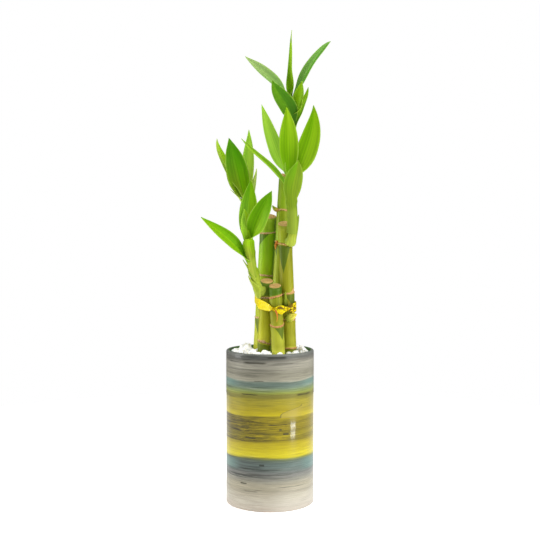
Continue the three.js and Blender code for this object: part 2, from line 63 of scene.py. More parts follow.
# A cane runs straight from base to top, and its cut end rises towards the back by "slope". Rings are its
# nodes: height above the table, then the rise of the ring's plane towards +X and towards the back.
# "tints" gives the skin by height, with painted bounce light from the pebbles in its much lighter lowest
# stops, and "deep" the heights that are dark green. Each mark is a wedge that hangs from a height (or stands
# on it, if its length is negative): height, turn in degrees, half width, length, how far its point leans
# sideways, and its finish.
CANES = [
    dict(name="cane_back_left", base=(-15.2, 13, 7), top=(-1.1, 12.5, 261.4), radii=(7.7, 7.3), slope=0.3,
         rings=((168, 0, 0), (207.5, -0.08, 0), (246.5, 0.05, 0)), collar="#cfae80",
         deep=(247.5, 270), dark=("#6c9008", "#a0c032"),
         tints=((130, "#cccc40"), (165, "#a8b428"), (195, "#acbe26"), (207, "#90b410"), (225, "#86bc0c"),
                (240, "#74ae0a"), (262, "#84b010")),
         marks=[(246, -142, 9, 14, -4, "shaded"), (167.3, -110, 8, 18.5, 0, "shaded"),
                (207, 30, 6, 14, 0, "shaded")]),
    dict(name="cane_tallest", base=(-2.5, 6, 7), top=(13.7, 6, 299), radii=(6.1, 5.4), slope=0.3,
         rings=((148, 0, 0), (196, 0, 0), (238.5, 0, 0), (267, -0.08, 0)), collar="#c9a06a",
         deep=(120, 147), dark=("#5a7a0c", "#7a9424"),
         tints=((140, "#98a01c"), (200, "#aab834"), (214, "#94a42a"), (230, "#7e9624"), (238, "#86a81c"),
                (266, "#748a08"), (269, "#789a14"), (300, "#789e1a")),
         marks=[(238, -158, 4, 14, 3, "shaded"), (267, 60, 6, 18, 0, "shaded"),
                (196, 150, 6, 16, 0, "shaded")]),
    dict(name="cane_left", base=(-11.4, -7, 7), top=(-2.7, -7, 203), radii=(5.9, 5.9), slope=0.36,
         rings=((147.5, -0.3, 0), (188.5, 0, 0)), collar="#cba884",
         deep=(189.5, 210), dark=("#3c5c08", "#5c7818"),
         tints=((136, "#dcd84c"), (148, "#ccc83c"), (155, "#c0c030"), (165, "#a2a21a"), (183, "#949618"),
                (187, "#b8ac3a"), (203, "#6f8a1c")),
         marks=[(146.8, -70, 16, 60, 0, "shaded"), (148, -105, 4.2, -2, 1, "scar")]),
    dict(name="cane_front", base=(14.2, -18, 7), top=(4.5, -18, 199.3), radii=(6.6, 5.7), slope=0.33,
         rings=((165, 0, 0.33), (190, 0.22, 0)), collar="#c08a5c",
         deep=(191, 210), dark=("#2a4c04", "#4c7410"),
         tints=((130, "#fafa6c"), (145, "#b2b43a"), (160, "#949a28"), (168, "#868418"), (190, "#707c0c"),
                (196, "#667a10")),
         marks=[(163.6, -58, 6.2, 13.5, 1.5, "shaded"), (190, 100, 6, 15, 0, "shaded")]),
    dict(name="cane_right", base=(22.6, -5.5, 7), top=(13.1, -6, 254.7), radii=(7.2, 6.1), slope=0.4,
         rings=((142, 0, 0), (168, 0, 0), (191.5, 0.1, 0), (235.8, -0.2, 0)), collar="#c49a62",
         deep=(110, 141), dark=("#4c5c08", "#707c1c"),
         tints=((134, "#cccc44"), (145, "#a4a42c"), (156, "#888818"), (186, "#928a20"), (195, "#888814"),
                (234, "#7c8010"), (238, "#98aa24"), (255, "#949a22")),
         marks=[(234.5, -110, 7.8, 25, -0.5, "shaded"), (190.4, -48, 7.6, 15, 3, "shaded"),
                (191.5, -30, 5, -6.5, 2.5, "scar")]),
]

# Each shoot's stem follows one cubic curve out of its cane; it swells where it leaves the cane.
SHOOTS = {
    "top": dict(radius=2, swell=0.6,
                curve=[(15.5, 9, 287), (21.8, 14.5, 292), (19.2, 11, 335), (18.2, 9, 371)]),
    "right": dict(radius=2.4, swell=1.4,
                  curve=[(14.8, -7, 238), (22.6, -17, 239), (19.8, -16.5, 262), (18.6, -12.5, 298)]),
    "left": dict(radius=2.2, swell=1.6,
                 curve=[(-5, -9, 192), (-13.5, -18, 193.5), (-15.5, -19.5, 214), (-19.4, -16, 238)]),
    "back": dict(radius=2, swell=0.6,
                 curve=[(-4, 12.5, 246.5), (-15, 10, 247.5), (-23, 7, 258), (-21.8, 8, 278)]),
}


# The greens of the leaves and bracts. Where a blade's two halves get different greens, the lighter and the
# darker half are painted light and shade of its fold; cream is painted light that brightens leaves lying in
# the shade of others.
GREENS = {
    "deep": "#2c6408", "dark": "#488c10", "leaf": "#68a414", "fresh": "#7cb40c", "grass": "#90c018",
    "olive": "#88a020", "lime": "#a8d428", "spring": "#b4e84c", "pale": "#d8f060", "cream": "#e4f488",
    "sage": "#60a040", "mint": "#90c868", "milk": "#bcd890", "straw": "#b8c448",
}


def leaf(name, layer, clasp, side, leave, tip, arrive, faces, width, cup, colours, twist=0,
         crease=0.35, funnel=0.16, widest=0.45):
    """A leaf's facts. Its name starts with its shoot's. It clasps its stem over the shares "clasp" of
    the stem's length on the turn "side", over "layer" other sheaths; its blade leaves by "leave" and
    reaches the tip from "arrive", with its upper side looking the way of "faces". Colours are names in
    GREENS. They run from the foot of the blade to its tip, first for the half on the right of the
    blade's upper side and then, if it differs, for the left; where the halves differ, one is lighter and
    the other darker with painted light and shade of the blade's fold."""
    return dict(name=name, layer=layer, clasp=clasp, side=side, leave=leave, tip=tip, arrive=arrive,
                faces=faces, width=width, cup=cup, colours=colours, twist=twist, crease=crease,
                funnel=funnel, widest=widest)


LEAVES = [
    leaf("top_leaf_slim", 2, (0.5, 0.7), 20, (1, -1.5, 15), (35.2, 18, 379.7), (-2.5, -2, -14.5),
         (-0.6, -0.7, 0.4), 9, 0.7, ("grass", "lime")),
    leaf("top_leaf_front", 1, (0.58, 0.76), -105, (5, -5, 12), (2.1, -12, 381.8), (4, 6.5, -13),
         (0.2, 0.95, 0.3), 17.5, 0.6, ("leaf", "leaf", "deep", "dark"), crease=0.9),
    leaf("top_leaf_short", 1, (0.62, 0.8), -30, (3, -1, 10), (28.8, -1, 382.6), (-2, 0, -12),
         (-0.4, -0.85, 0.25), 12.5, 0.8, ("grass", "grass")),
    leaf("top_leaf_right", 0, (0.7, 0.87), -5, (3.5, -1.5, 24), (54.6, 0, 418.2), (-9, 1.5, -5),
         (-0.6, -0.62, 0.5), 13, 0.7, ("sage", "sage", "mint", "mint"), funnel=0.3),
    leaf("top_leaf_left", 0, (0.86, 0.97), 175, (-7.5, 1, 16), (-22.6, 14, 407.2), (11.5, -1.5, -11),
         (0.4, 0.7, 0.55), 12, 0.9, ("mint", "milk", "mint", "milk")),
    leaf("top_leaf_centre", -1, (0.9, 0.99), 80, (1.5, -1.5, 19.5), (19.7, 6, 429.6),
         (-2, 1.5, -19.5), (-0.95, -0.3, 0.1), 9, 0.8, ("grass", "lime", "fresh", "grass"),
         twist=30, widest=0.22),
    leaf("right_leaf_front", 2, (0.34, 0.7), -85, (-3, 1.5, 17), (24.6, -34, 309.9),
         (-1, 7.5, -13.5), (0, 0.85, 0.5), 17.5, 0.65, ("olive", "fresh", "olive", "olive")),
    leaf("right_leaf_far_left", 1, (0.45, 0.84), 195, (-4.5, 1, 18), (-25.3, -22, 329.5),
         (13.5, 3, -16), (0.35, 0.5, 0.8), 8, 0.8, ("lime", "lime", "leaf", "grass")),
    leaf("right_leaf_right", 0, (0.76, 0.9), 15, (8, 3, 22), (39, -7, 360.4), (3, -2, -26),
         (-0.2, -0.97, 0.1), 20, 1.1, ("lime", "grass", "grass", "fresh")),
    leaf("right_leaf_left", 0, (0.8, 0.94), 165, (-9.5, 6.5, 20), (-7.5, 2, 362), (6.5, -5, -24),
         (0.3, 0.95, 0.1), 13.5, 1.1, ("spring", "spring")),
    leaf("right_leaf_centre", -1, (0.88, 0.98), 85, (-3.5, -1, 20), (14.6, -13, 358), (3, 1, -20.5),
         (0, -1, 0.1), 18, 1, ("fresh", "lime", "fresh", "grass")),
    leaf("left_leaf_left", 1, (0.5, 0.68), 185, (-6.5, 1, 19), (-61, -24, 260.1), (15.5, 2, -12.5),
         (0.45, -0.8, 0.45), 14, 0.9, ("leaf", "fresh", "grass", "grass")),
    leaf("left_leaf_right", 0, (0.8, 0.95), -5, (3, -2, 16), (1.6, -24, 283.5), (-7, 0.5, -15.5),
         (-0.3, -0.95, 0.15), 20, 0.65, ("lime", "leaf", "fresh", "leaf"), crease=0.9),
    leaf("left_leaf_inner", -1, (0.9, 0.98), 120, (0.5, -0.5, 9.5), (-22.7, -16, 267.5),
         (1, 0.5, -10.5), (0.15, -1, 0.1), 12, 0.7, ("grass", "lime", "lime", "spring"), crease=1),
    leaf("left_leaf_centre", 0, (0.88, 0.97), 85, (-3, 0, 20), (-17.4, -7, 293.9), (-0.5, -2.5, -20),
         (0.05, -1, 0.1), 17, 0.9, ("lime", "fresh", "spring", "leaf")),
    leaf("back_leaf_low", 1, (0.6, 0.76), 190, (-1, 0, 10.5), (-36, 0, 285.1), (6.5, 3.5, -5.5),
         (0.3, -0.3, 0.9), 6, 0.7, ("cream", "cream")),
    leaf("back_leaf_small", 1, (0.56, 0.74), 10, (2, 0, 13), (-12.3, 16, 305.1), (-1.5, -3, -12),
         (-0.7, -0.7, 0.3), 6, 0.7, ("cream", "cream")),
    leaf("back_leaf_left", 1, (0.76, 0.9), 175, (-4, 0, 21), (-48.7, 14, 332.3), (1, -2.5, -21),
         (0.7, -0.6, 0.35), 14, 0.8, ("lime", "lime", "pale", "pale")),
    leaf("back_leaf_right", 0, (0.8, 0.92), 70, (-2, 3, 20), (-19.5, 19, 340.8), (1, -3, -22),
         (0.1, -0.98, 0.1), 12, 1.1, ("pale", "spring", "spring", "spring")),
    leaf("back_leaf_front", -1, (0.84, 0.97), 110, (-7, -3.5, 15), (-37.1, -3, 331.5),
         (5, 4, -18.5), (0.2, -0.95, 0.2), 22, 1, ("fresh", "dark", "olive", "dark")),
]


def bract(name, layer, clasp, side, leave, tip, arrive, point, colours, hold=1, flare=0):
    """A bract's facts: a sheath with no blade, which narrows to its tip by the power "point". "hold" is
    its share of a full clasp at its foot and "flare" how much further out its mouth stands."""
    return dict(name=name, layer=layer, clasp=clasp, side=side, leave=leave, tip=tip, arrive=arrive,
                point=point, colours=colours, hold=hold, flare=flare)


BRACTS = [
    bract("right_bract", 2, (0.12, 0.3), -30, (1.2, 0, 5), (25.6, -14.5, 262.5), (-0.5, -0.5, -6),
          1, ("straw", "olive")),
    bract("left_bract_base", 2, (0.1, 0.27), 205, (-0.5, -1, 5), (-19.1, -19, 208.2), (0.5, 0, -5),
          0.9, ("straw", "straw"), hold=0.5),
    bract("left_bract_low", 1, (0.2, 0.4), 185, (-0.5, -1, 6), (-19.6, -18, 212.6), (0.5, 0, -5),
          0.9, ("straw", "straw"), hold=0.6),
    bract("left_bract_right", 1, (0.12, 0.38), -45, (0, 0, 5), (-12.2, -19.6, 216.2), (0.5, 0, -4),
          0.9, ("straw", "olive"), hold=0.8),
    bract("left_bract_high", 1, (0.34, 0.52), 190, (-1, 0, 6), (-24.2, -17.5, 222.4), (2.5, 0, -5),
          0.9, ("straw", "olive"), hold=0.6),
    bract("left_bract_back", 0, (0.45, 0.7), 30, (0, 0.5, 5), (-13.5, -14.5, 230.9), (0.5, -0.5, -4),
          0.9, ("leaf", "deep")),
    bract("left_bract_front", 1, (0.5, 0.8), -80, (-0.5, 0.5, 6), (-18.6, -24, 241), (0, 1, -6),
          0.22, ("straw", "lime", "olive", "grass"), hold=0.22, flare=1.1),
]

# Buds and aerial roots: short tapered growths from a cane, with their thickest radius.
BUDS = [
    dict(name="tallest_cane_bud", radius=1.9, tints=("#a0703c", "#b0903c", "#8ca028"),
         curve=[(9, 4.4, 266.5), (5, 3, 266.5), (3.4, 2.2, 268.5), (2.2, 2, 271)]),
    dict(name="tallest_cane_root", radius=1.5,
         curve=[(9.5, 2.6, 238), (6, 0.8, 238), (4.8, -0.2, 235), (5.1, -0.4, 230.5)]),
    dict(name="right_cane_bud", radius=3.7, tints=("#a07a3c", "#a0b03c", "#d8cc48"),
         curve=[(16.5, -8, 169), (16.5, -13, 169.5), (20, -14.5, 170.5), (24, -13.5, 173.5)]),
    dict(name="gap_bud", radius=2.5, tints=("#3c3c0c", "#565f0a", "#8a9a20"),
         curve=[(14.5, -9, 178), (12.8, -13.5, 181), (13.4, -14.2, 187), (13.8, -14, 193.5)]),
    dict(name="front_cane_root", radius=0.8,
         curve=[(3.4, -21.5, 179.5), (4.6, -28, 179), (8.2, -27, 172.5), (5.6, -24.4, 167.3)]),
]

# The band round the bundle: its tilt towards +X and the back, then turn in degrees, width and how far it
# stands off the canes.
RIBBON_TILT = (-0.1, 0.155)
RIBBON_WIDTHS = [(-180, 9.2, 0), (-150, 9.4, 0.2), (-112, 8, 0.3), (-100, 6.5, 0.4), (-88, 2.8, 0.8),
                 (-70, 8, 2), (-49, 3, 1), (-30, 8.6, 1.2), (-5, 7.5, 0.3), (90, 8, 0), (180, 9.2, 0)]
BUNDLE_CENTRE = Vector((2, -3))


# ---- small tools ----

def colour(code):
    """A scene-linear colour from its usual hex code."""
    parts = [int(code[i:i + 2], 16) / 255 for i in (1, 3, 5)]
    return tuple(p / 12.92 if p <= 0.04045 else ((p + 0.055) / 1.055) ** 2.4 for p in parts) + (1.0,)


def smooth(t):
    """Eases from 0 to 1."""
    t = min(max(t, 0.0), 1.0)
    return t * t * (3 - 2 * t)


def lerp(a, b, t):
    """The number a share t of the way from a to b."""
    return a + (b - a) * t


def hump(x, middle, spread):
    """A bell curve, 1 at its middle."""
    return math.exp(-((x - middle) / spread) ** 2)


class Cubic:
    """A cubic curve through space."""

    def __init__(self, points):
        self.points = [Vector(p) for p in points]

    def at(self, t):
        """The point a share t of the way along."""
        a, b, c, d = self.points
        s = 1 - t
        return a * s ** 3 + b * (3 * s * s * t) + c * (3 * s * t * t) + d * t ** 3

    def heading(self, t):
        """The way that the curve runs at a share t."""
        a, b, c, d = self.points
        s = 1 - t
        return ((b - a) * (s * s) + (c - b) * (2 * s * t) + (d - c) * (t * t)).normalized()


def turned(outline, steps):
    """A closed shape turned about +Z from a half outline that starts and ends on the axis."""
    bm = bmesh.new()
    corners = [bm.verts.new((r, 0, z)) for r, z in outline]
    sides = [bm.edges.new(pair) for pair in zip(corners, corners[1:])]
    bmesh.ops.spin(bm, geom=corners + sides, axis=(0, 0, 1), angle=math.tau, steps=steps, use_merge=True)
    bmesh.ops.remove_doubles(bm, verts=bm.verts, dist=1e-5)
    bmesh.ops.recalc_face_normals(bm, faces=bm.faces)
    return bm


def unroll(bm, height):
    """Gives a turned shape a UV map: u is the share of a turn and v the share of the height."""
    layer = bm.loops.layers.uv.new("skin")
    for face in bm.faces:
        centre = face.calc_center_median()
        middle = math.atan2(centre.y, centre.x) / math.tau
        for loop in face.loops:
            x, y, z = loop.vert.co
            u = math.atan2(y, x) / math.tau if math.hypot(x, y) > 1e-4 else middle
            loop[layer].uv = (u + round(middle - u) + 0.5, z / height)


def push_out(vert, amount):
    """Moves a point of a turned shape away from the +Z axis."""
    x, y, _ = vert.co
    reach = math.hypot(x, y)
    vert.co.x += amount * x / reach
    vert.co.y += amount * y / reach


def linked(name, data):
    """A new object in the scene."""
    made = bpy.data.objects.new(name, data)
    bpy.context.scene.collection.objects.link(made)
    return made


def mesh_object(name, bm, *materials):
    """Stores a shape as a new object and frees it."""
    mesh = bpy.data.meshes.new(name)
    bm.to_mesh(mesh)
    bm.free()
    for material in materials:
        mesh.materials.append(material)
    return linked(name, mesh)


def stand_in(name, bm, nodes, slot, *materials):
    """Stores a shape made in millimetres as a piece that rides on the frame and stands for CAD nodes."""
    bm.transform(Matrix.Scale(MM, 4))
    piece = mesh_object(name, bm, *materials)
    piece.data.shade_smooth()
    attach(piece, "root")
    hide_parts(*nodes)
    return piece


def thicken(piece, thickness):
    """Gives a sheet its thickness, half on each side."""
    solid = piece.modifiers.new("thickness", "SOLIDIFY")
    solid.thickness = thickness
    solid.offset = 0
    return solid


# ---- materials ----

class Tone:
    """An output of a finish's nodes. Arithmetic on it adds Math nodes."""

    def __init__(self, finish, socket):
        self.finish, self.socket = finish, socket

    def math(self, operation, *others):
        """A Math node on this value and any others."""
        values = dict(enumerate((self, *others)))
        return self.finish.node("Math", {"operation": operation}, values)

    def __add__(self, other):
        return self.math("ADD", other)

    def __mul__(self, other):
        return self.math("MULTIPLY", other)

    def __sub__(self, other):
        return self.math("SUBTRACT", other)

    def __rsub__(self, other):
        return self.finish.node("Math", {"operation": "SUBTRACT"}, {0: other, 1: self})

    def __truediv__(self, other):
        return self.math("DIVIDE", other)

    def __pow__(self, other):
        return self.math("POWER", other)

    __radd__ = __add__
    __rmul__ = __mul__

    def size(self):
        """The value without its sign."""
        return self.math("ABSOLUTE")

    def rise(self, low, high):
        """0 below low, 1 above high and smooth between; falls instead where low is above high."""
        return self.finish.node("MapRange", {"interpolation_type": "SMOOTHSTEP"},
                                {"Value": self, "From Min": low, "From Max": high})

    def near(self, middle, reach, soft):
        """1 within reach of the middle, fading out over soft."""
        return (self - middle).size().rise(reach + soft, reach)


class Finish:
    """A material, or the sky, being mixed from nodes."""

    def __init__(self, name, kinds="materials"):
        self.material = getattr(bpy.data, kinds).new(name)
        self.material.use_nodes = True
        self.tree = self.material.node_tree
        self.tree.nodes.clear()

    def node(self, kind, settings=None, values=None, output=0):
        """Adds a node: its settings first, then the values or links of its inputs."""
        node = self.tree.nodes.new("ShaderNode" + kind)
        for key, value in (settings or {}).items():
            if key == "stops":
                self.set_stops(node.color_ramp, value)
            else:
                setattr(node, key, value)
        for key, value in (values or {}).items():
            if isinstance(value, Tone):
                self.tree.links.new(value.socket, node.inputs[key])
            else:
                node.inputs[key].default_value = value
        return Tone(self, node.outputs[output]) if node.outputs else node

    def set_stops(self, ramp, stops):
        """Fills a colour ramp with stops, which are colour codes or greys."""
        while len(ramp.elements) < len(stops):
            ramp.elements.new(0.5)
        for element, (place, shade) in zip(ramp.elements, stops):
            element.position = place
            element.color = colour(shade) if isinstance(shade, str) else (shade, shade, shade, 1)

    def place(self):
        """Object coordinates in millimetres."""
        spot = self.node("TexCoord", output="Object")
        return self.node("VectorMath", {"operation": "SCALE"}, {0: spot, "Scale": 1 / MM})

    def apart(self, vector):
        """A vector's X, Y and Z."""
        return [self.node("SeparateXYZ", None, {0: vector}, axis) for axis in range(3)]

    def map(self):
        """The piece's own UV map, as u and v."""
        return self.apart(self.node("TexCoord", output="UV"))[:2]

    def vector(self, x, y, z=0.0):
        """A vector from its parts."""
        return self.node("CombineXYZ", None, {0: x, 1: y, 2: z})

    def noise(self, vector, scale=1.0, detail=2.0, rough=0.5, bend=0.0):
        """Cloudy noise. With a scale for each axis, it is drawn out along those with small ones."""
        if isinstance(scale, tuple):
            vector = self.node("VectorMath", {"operation": "MULTIPLY"}, {0: vector, 1: scale})
            scale = 1.0
        return self.node("TexNoise", None, {"Vector": vector, "Scale": scale, "Detail": detail,
                                            "Roughness": rough, "Distortion": bend})

    def ramp(self, value, stops, low=0.0, high=1.0):
        """A colour, or a grey, by a value that runs from low to high."""
        stops = [((place - low) / (high - low), shade) for place, shade in stops]
        return self.node("ValToRGB", {"stops": stops}, {0: (value - low) / (high - low)})

    def mix(self, share, first, second, blend="MIX"):
        """The first colour with a share of the second one blended in."""
        first, second = (colour(c) if isinstance(c, str) else c for c in (first, second))
        return self.node("Mix", {"data_type": "RGBA", "blend_type": blend},
                         {0: share, 6: first, 7: second}, 2)

    def relief(self, height, depth):
        """Raised detail: depth is in millimetres for a height of 1."""
        return self.node("Bump", None, {"Height": height, "Distance": depth * MM, "Strength": 1.0})

    def done(self, base, roughness, normal=None, fixed=None, glow=None, through=0.0):
        """Joins the finish up. "fixed" holds plain socket values, "glow" the light that comes through."""
        values = {"Base Color": base, "Roughness": roughness, **(fixed or {})}
        if normal:
            values["Normal"] = normal
        surface = self.node("BsdfPrincipled", None, values)
        if through:
            lit = self.node("BsdfTranslucent", None, {"Color": colour(glow)})
            surface = self.node("MixShader", None, {0: through, 1: surface, 2: lit})
        self.node("OutputMaterial", None, {"Surface": surface})
        return self.material


# Brush strokes on the front of the vase: side, half length, height, half thickness and strength.
STROKES = [
    (6, 11, 137, 0.7, 0.75), (-13, 13, 132.2, 0.9, 0.75), (12, 12, 131.6, 0.4, 0.45),
    (-3, 18, 123, 0.35, 0.4), (20, 12, 120.4, 0.3, 0.3), (-9.7, 5.4, 116.4, 0.3, 0.95),
    (-18, 9, 104.1, 0.5, 0.8), (30, 8, 103.2, 1.2, 0.6), (7, 11, 77.7, 0.5, 0.9),
    (14, 3.2, 69.5, 0.75, 1.0), (-3, 13, 69.4, 0.5, 0.5), (9.2, 1.5, 73.4, 0.6, 0.9),
    (-17.5, 6, 65.9, 0.5, 0.9), (-22, 5, 75.5, 0.9, 0.5), (-7.4, 3, 41.9, 0.8, 0.7),
    (-8, 25, 37.9, 0.4, 0.65), (0, 27, 33.3, 0.8, 0.5), (-23.4, 3.6, 24.5, 0.6, 0.8),
    (20, 16, 22.2, 0.25, 0.5), (-17, 8, 17.9, 0.6, 0.45), (-2, 16, 19.4, 0.25, 0.4),
]


def glaze_finish(settings):
    """Bands of brushed glaze, with streaks that run round the vase."""
    f = Finish("brushed_glaze")
    place = f.place()
    x, y, z = f.apart(place)
    sway = f.noise(place, (0.018, 0.018, 0.03), detail=1.0)
    ragged = f.noise(place, (0.06, 0.06, 1.3), detail=4.0, rough=0.65)
    level = z + (sway - 0.5) * settings.waver + (ragged - 0.5) * 2.6
    low = f.ramp(level, [
        (0, "#c8ae98"), (0.7, "#d9cfc0"), (8, "#dcd6c6"), (14, "#d2ccb8"), (18.5, "#b8b29c"),
        (21, "#c6c0a8"), (24, "#c2bda6"), (28, "#b0b0a2"), (31, "#a2a49c"), (34, "#969a96"),
        (37, "#7c8b86"), (40, "#7c908b"), (43, "#73867f"), (45.2, "#70806c"), (46.6, "#8f9a44"),
        (48.2, "#e6da20"), (50, "#ecdf24"), (55, "#dccc10"), (59, "#d2c210"), (62, "#bcac0c"),
        (65, "#90840c"), (70, "#a69a10")], 0, 70)
    high = f.ramp(level, [
        (70, "#a69a10"), (74, "#988a0c"), (80, "#a6980e"), (83.6, "#a29410"), (84.4, "#bcae12"),
        (85, "#e4d210"), (87, "#d4c410"), (90, "#beae14"), (95, "#bcb02c"), (99, "#b8ae38"),
        (101.5, "#969240"), (103.5, "#9c984a"), (105.5, "#acb858"), (108, "#a0b47a"), (110.5, "#90a690"),
        (113, "#80958b"), (115.4, "#869a8c"), (116.6, "#d0ceba"), (118, "#b6b4a0"), (123, "#a8a694"),
        (128, "#bab8a8"), (131.5, "#c2c0b0"), (134, "#98978c"), (136.6, "#82847f"),
        (139, "#929690")], 70, 140)
    base = f.mix(level.rise(69.9, 70.1), low, high)

    # long dark brush streaks over fine lines all round; their weighting towards the left is painted shade,
    # darker on the left side of the vase
    streak = f.noise(place, (0.02, 0.02, 0.5), detail=4.0, rough=0.65, bend=0.5)
    dashes = f.noise(place, (0.06, 0.06, 2.1), detail=3.0, rough=0.7)
    fine = f.noise(place, (0.05, 0.05, 3.4), detail=3.0, rough=0.7)
    brush_load_and_left_shade = x.rise(34, -26) * 0.75 + 0.35
    weight = f.ramp(level, [
        (0, 0.0), (16, 0.12), (24, 0.35), (30, 0.8), (46, 0.85), (49, 0.06), (60, 0.14), (64, 1.0),
        (83, 1.0), (85.5, 0.1), (99, 0.3), (106, 0.25), (110, 0.6), (117, 0.45), (119, 0.3), (129, 0.5),
        (135, 1.0), (140, 0.9)], 0, 140)
    yellow = level.rise(48, 50) * level.rise(108, 104)
    ink = f.mix(yellow, "#3f423f", "#33290a")
    dark = streak.rise(0.5, 0.64) * weight * brush_load_and_left_shade
    # painted shade: a dark layer over the streaked bands, strongest on the left side of the vase
    base = f.mix(weight * x.rise(26, -16) * (streak * 0.6 + 0.16), base, ink)
    base = f.mix(dark * 0.8, base, ink)
    worn = level.rise(61, 65) * level.rise(85, 82)
    # dark dashes in the band from 61 to 85 mm, weighted towards the left with painted shade
    base = f.mix(dashes.rise(0.52, 0.66) * worn * (brush_load_and_left_shade * 0.65), base, "#3d330a")
    window = x.near(-5, 16, 10)
    base = f.mix(dashes.rise(0.5, 0.36) * worn * (window * 0.5 + 0.35), base, "#cdb818")
    base = f.mix(streak.rise(0.45, 0.3) * 0.3, base, f.mix(yellow, "#dcd9c8", "#e4d414"))
    base = f.mix(1.0, base, (0.56, 0.545, 0.53, 1), "MULTIPLY")
    base = f.mix(0.6, base, f.ramp(fine, [(0.3, 0.22), (0.5, 0.5), (0.7, 0.74)]), "OVERLAY")
    turquoise = level.rise(109, 112) * level.rise(117, 115.5) + level.rise(34, 38) * level.rise(47, 45)
    base = f.mix(turquoise * (x.size().rise(24, 38) * 0.3), base, "#6f9c93")
    # painted light: the low bands paler on the right side of the vase
    base = f.mix(level.rise(29, 12) * x.rise(-6, 16) * 0.2, base, "#d3cfc4")

    front = y.rise(-2, -8)
    strokes = 0.0
    for side, half, height, thick, strength in STROKES:
        along = (x - side).size().rise(half, half * 0.55) * strength
        strokes = along * (z + (ragged - 0.5) * 1.8).near(height, thick * 0.4, thick * 1.2) + strokes
    base = f.mix((strokes * front * (dashes * 0.9 + 0.55)).rise(0.05, 0.95) * 0.9, base, "#22221a")

    # where one brush stroke ends in an arc
    climb = ((z - 84) / 9.7).rise(0, 1)
    past = x - 9.3 - (climb ** 2.2) * 18.6
    inside = z.rise(83.6, 84.2) * z.rise(95, 93.6) * front
    base = f.mix(past.rise(-0.2, 0.5) * inside * x.rise(36, 22) * 0.7, base, "#9c8d3a")
    base = f.mix(past.near(0, 0.15, 0.8) * inside * 0.75, base, "#5c5426")

    # the glaze inside the mouth is a deep green
    reach = f.node("VectorMath", {"operation": "LENGTH"}, {0: f.vector(x, y)}, "Value")
    base = f.mix(z.rise(138.6, 139.6) * 0.5, base, "#6c716a")
    base = f.mix(reach.rise(37.9, 37.2), base, f.mix(ragged.rise(0.4, 0.6), "#1f3d0f", "#4d7a2a"))
    rough = settings.roughness + (fine - 0.5) * 0.14 + dark * 0.06
    ridges = f.noise(place, (0.03, 0.03, 1.5), detail=2.0)
    gloss = f.ramp(z, [(0, 0.02), (30, 0.08), (55, 0.28), (130, 0.28), (140, 0.15)], 0, 140)
    return f.done(base, rough, f.relief(ridges * 0.7 + fine * 0.3, settings.ridges),
                  {"Coat Weight": gloss, "Coat Roughness": 0.085, "IOR": 1.5, "Specular IOR Level": 0.12})


def marble_finish(settings):
    """Tumbled white marble, with faint grey and cream clouds, that light soaks into."""
    f = Finish("white_marble")
    place = f.place()
    cloud = f.noise(place, 0.14, 4.0, 0.6, 0.6)
    vein = (f.noise(place, 0.3, 3.0, 0.55, 1.2) - 0.5).size().rise(0.03, 0.0)
    base = f.mix(cloud.rise(0.5, 0.8) * 0.5, (*settings.stone, 1), "#ebe7d4")
    base = f.mix(vein * 0.08, base, "#d2cfc4")
    grain = f.noise(place, 2.4, 2.0)
    return f.done(base, cloud * 0.2 + 0.35, f.relief(grain * 0.4 + cloud, 0.12),
                  {"IOR": 1.5, "Subsurface Weight": 0.6, "Subsurface Radius": (1.0, 0.95, 0.85),
                   "Subsurface Scale": 0.004})


SKIN_SPAN = 300  # the height of a cane that its whole UV map would cover


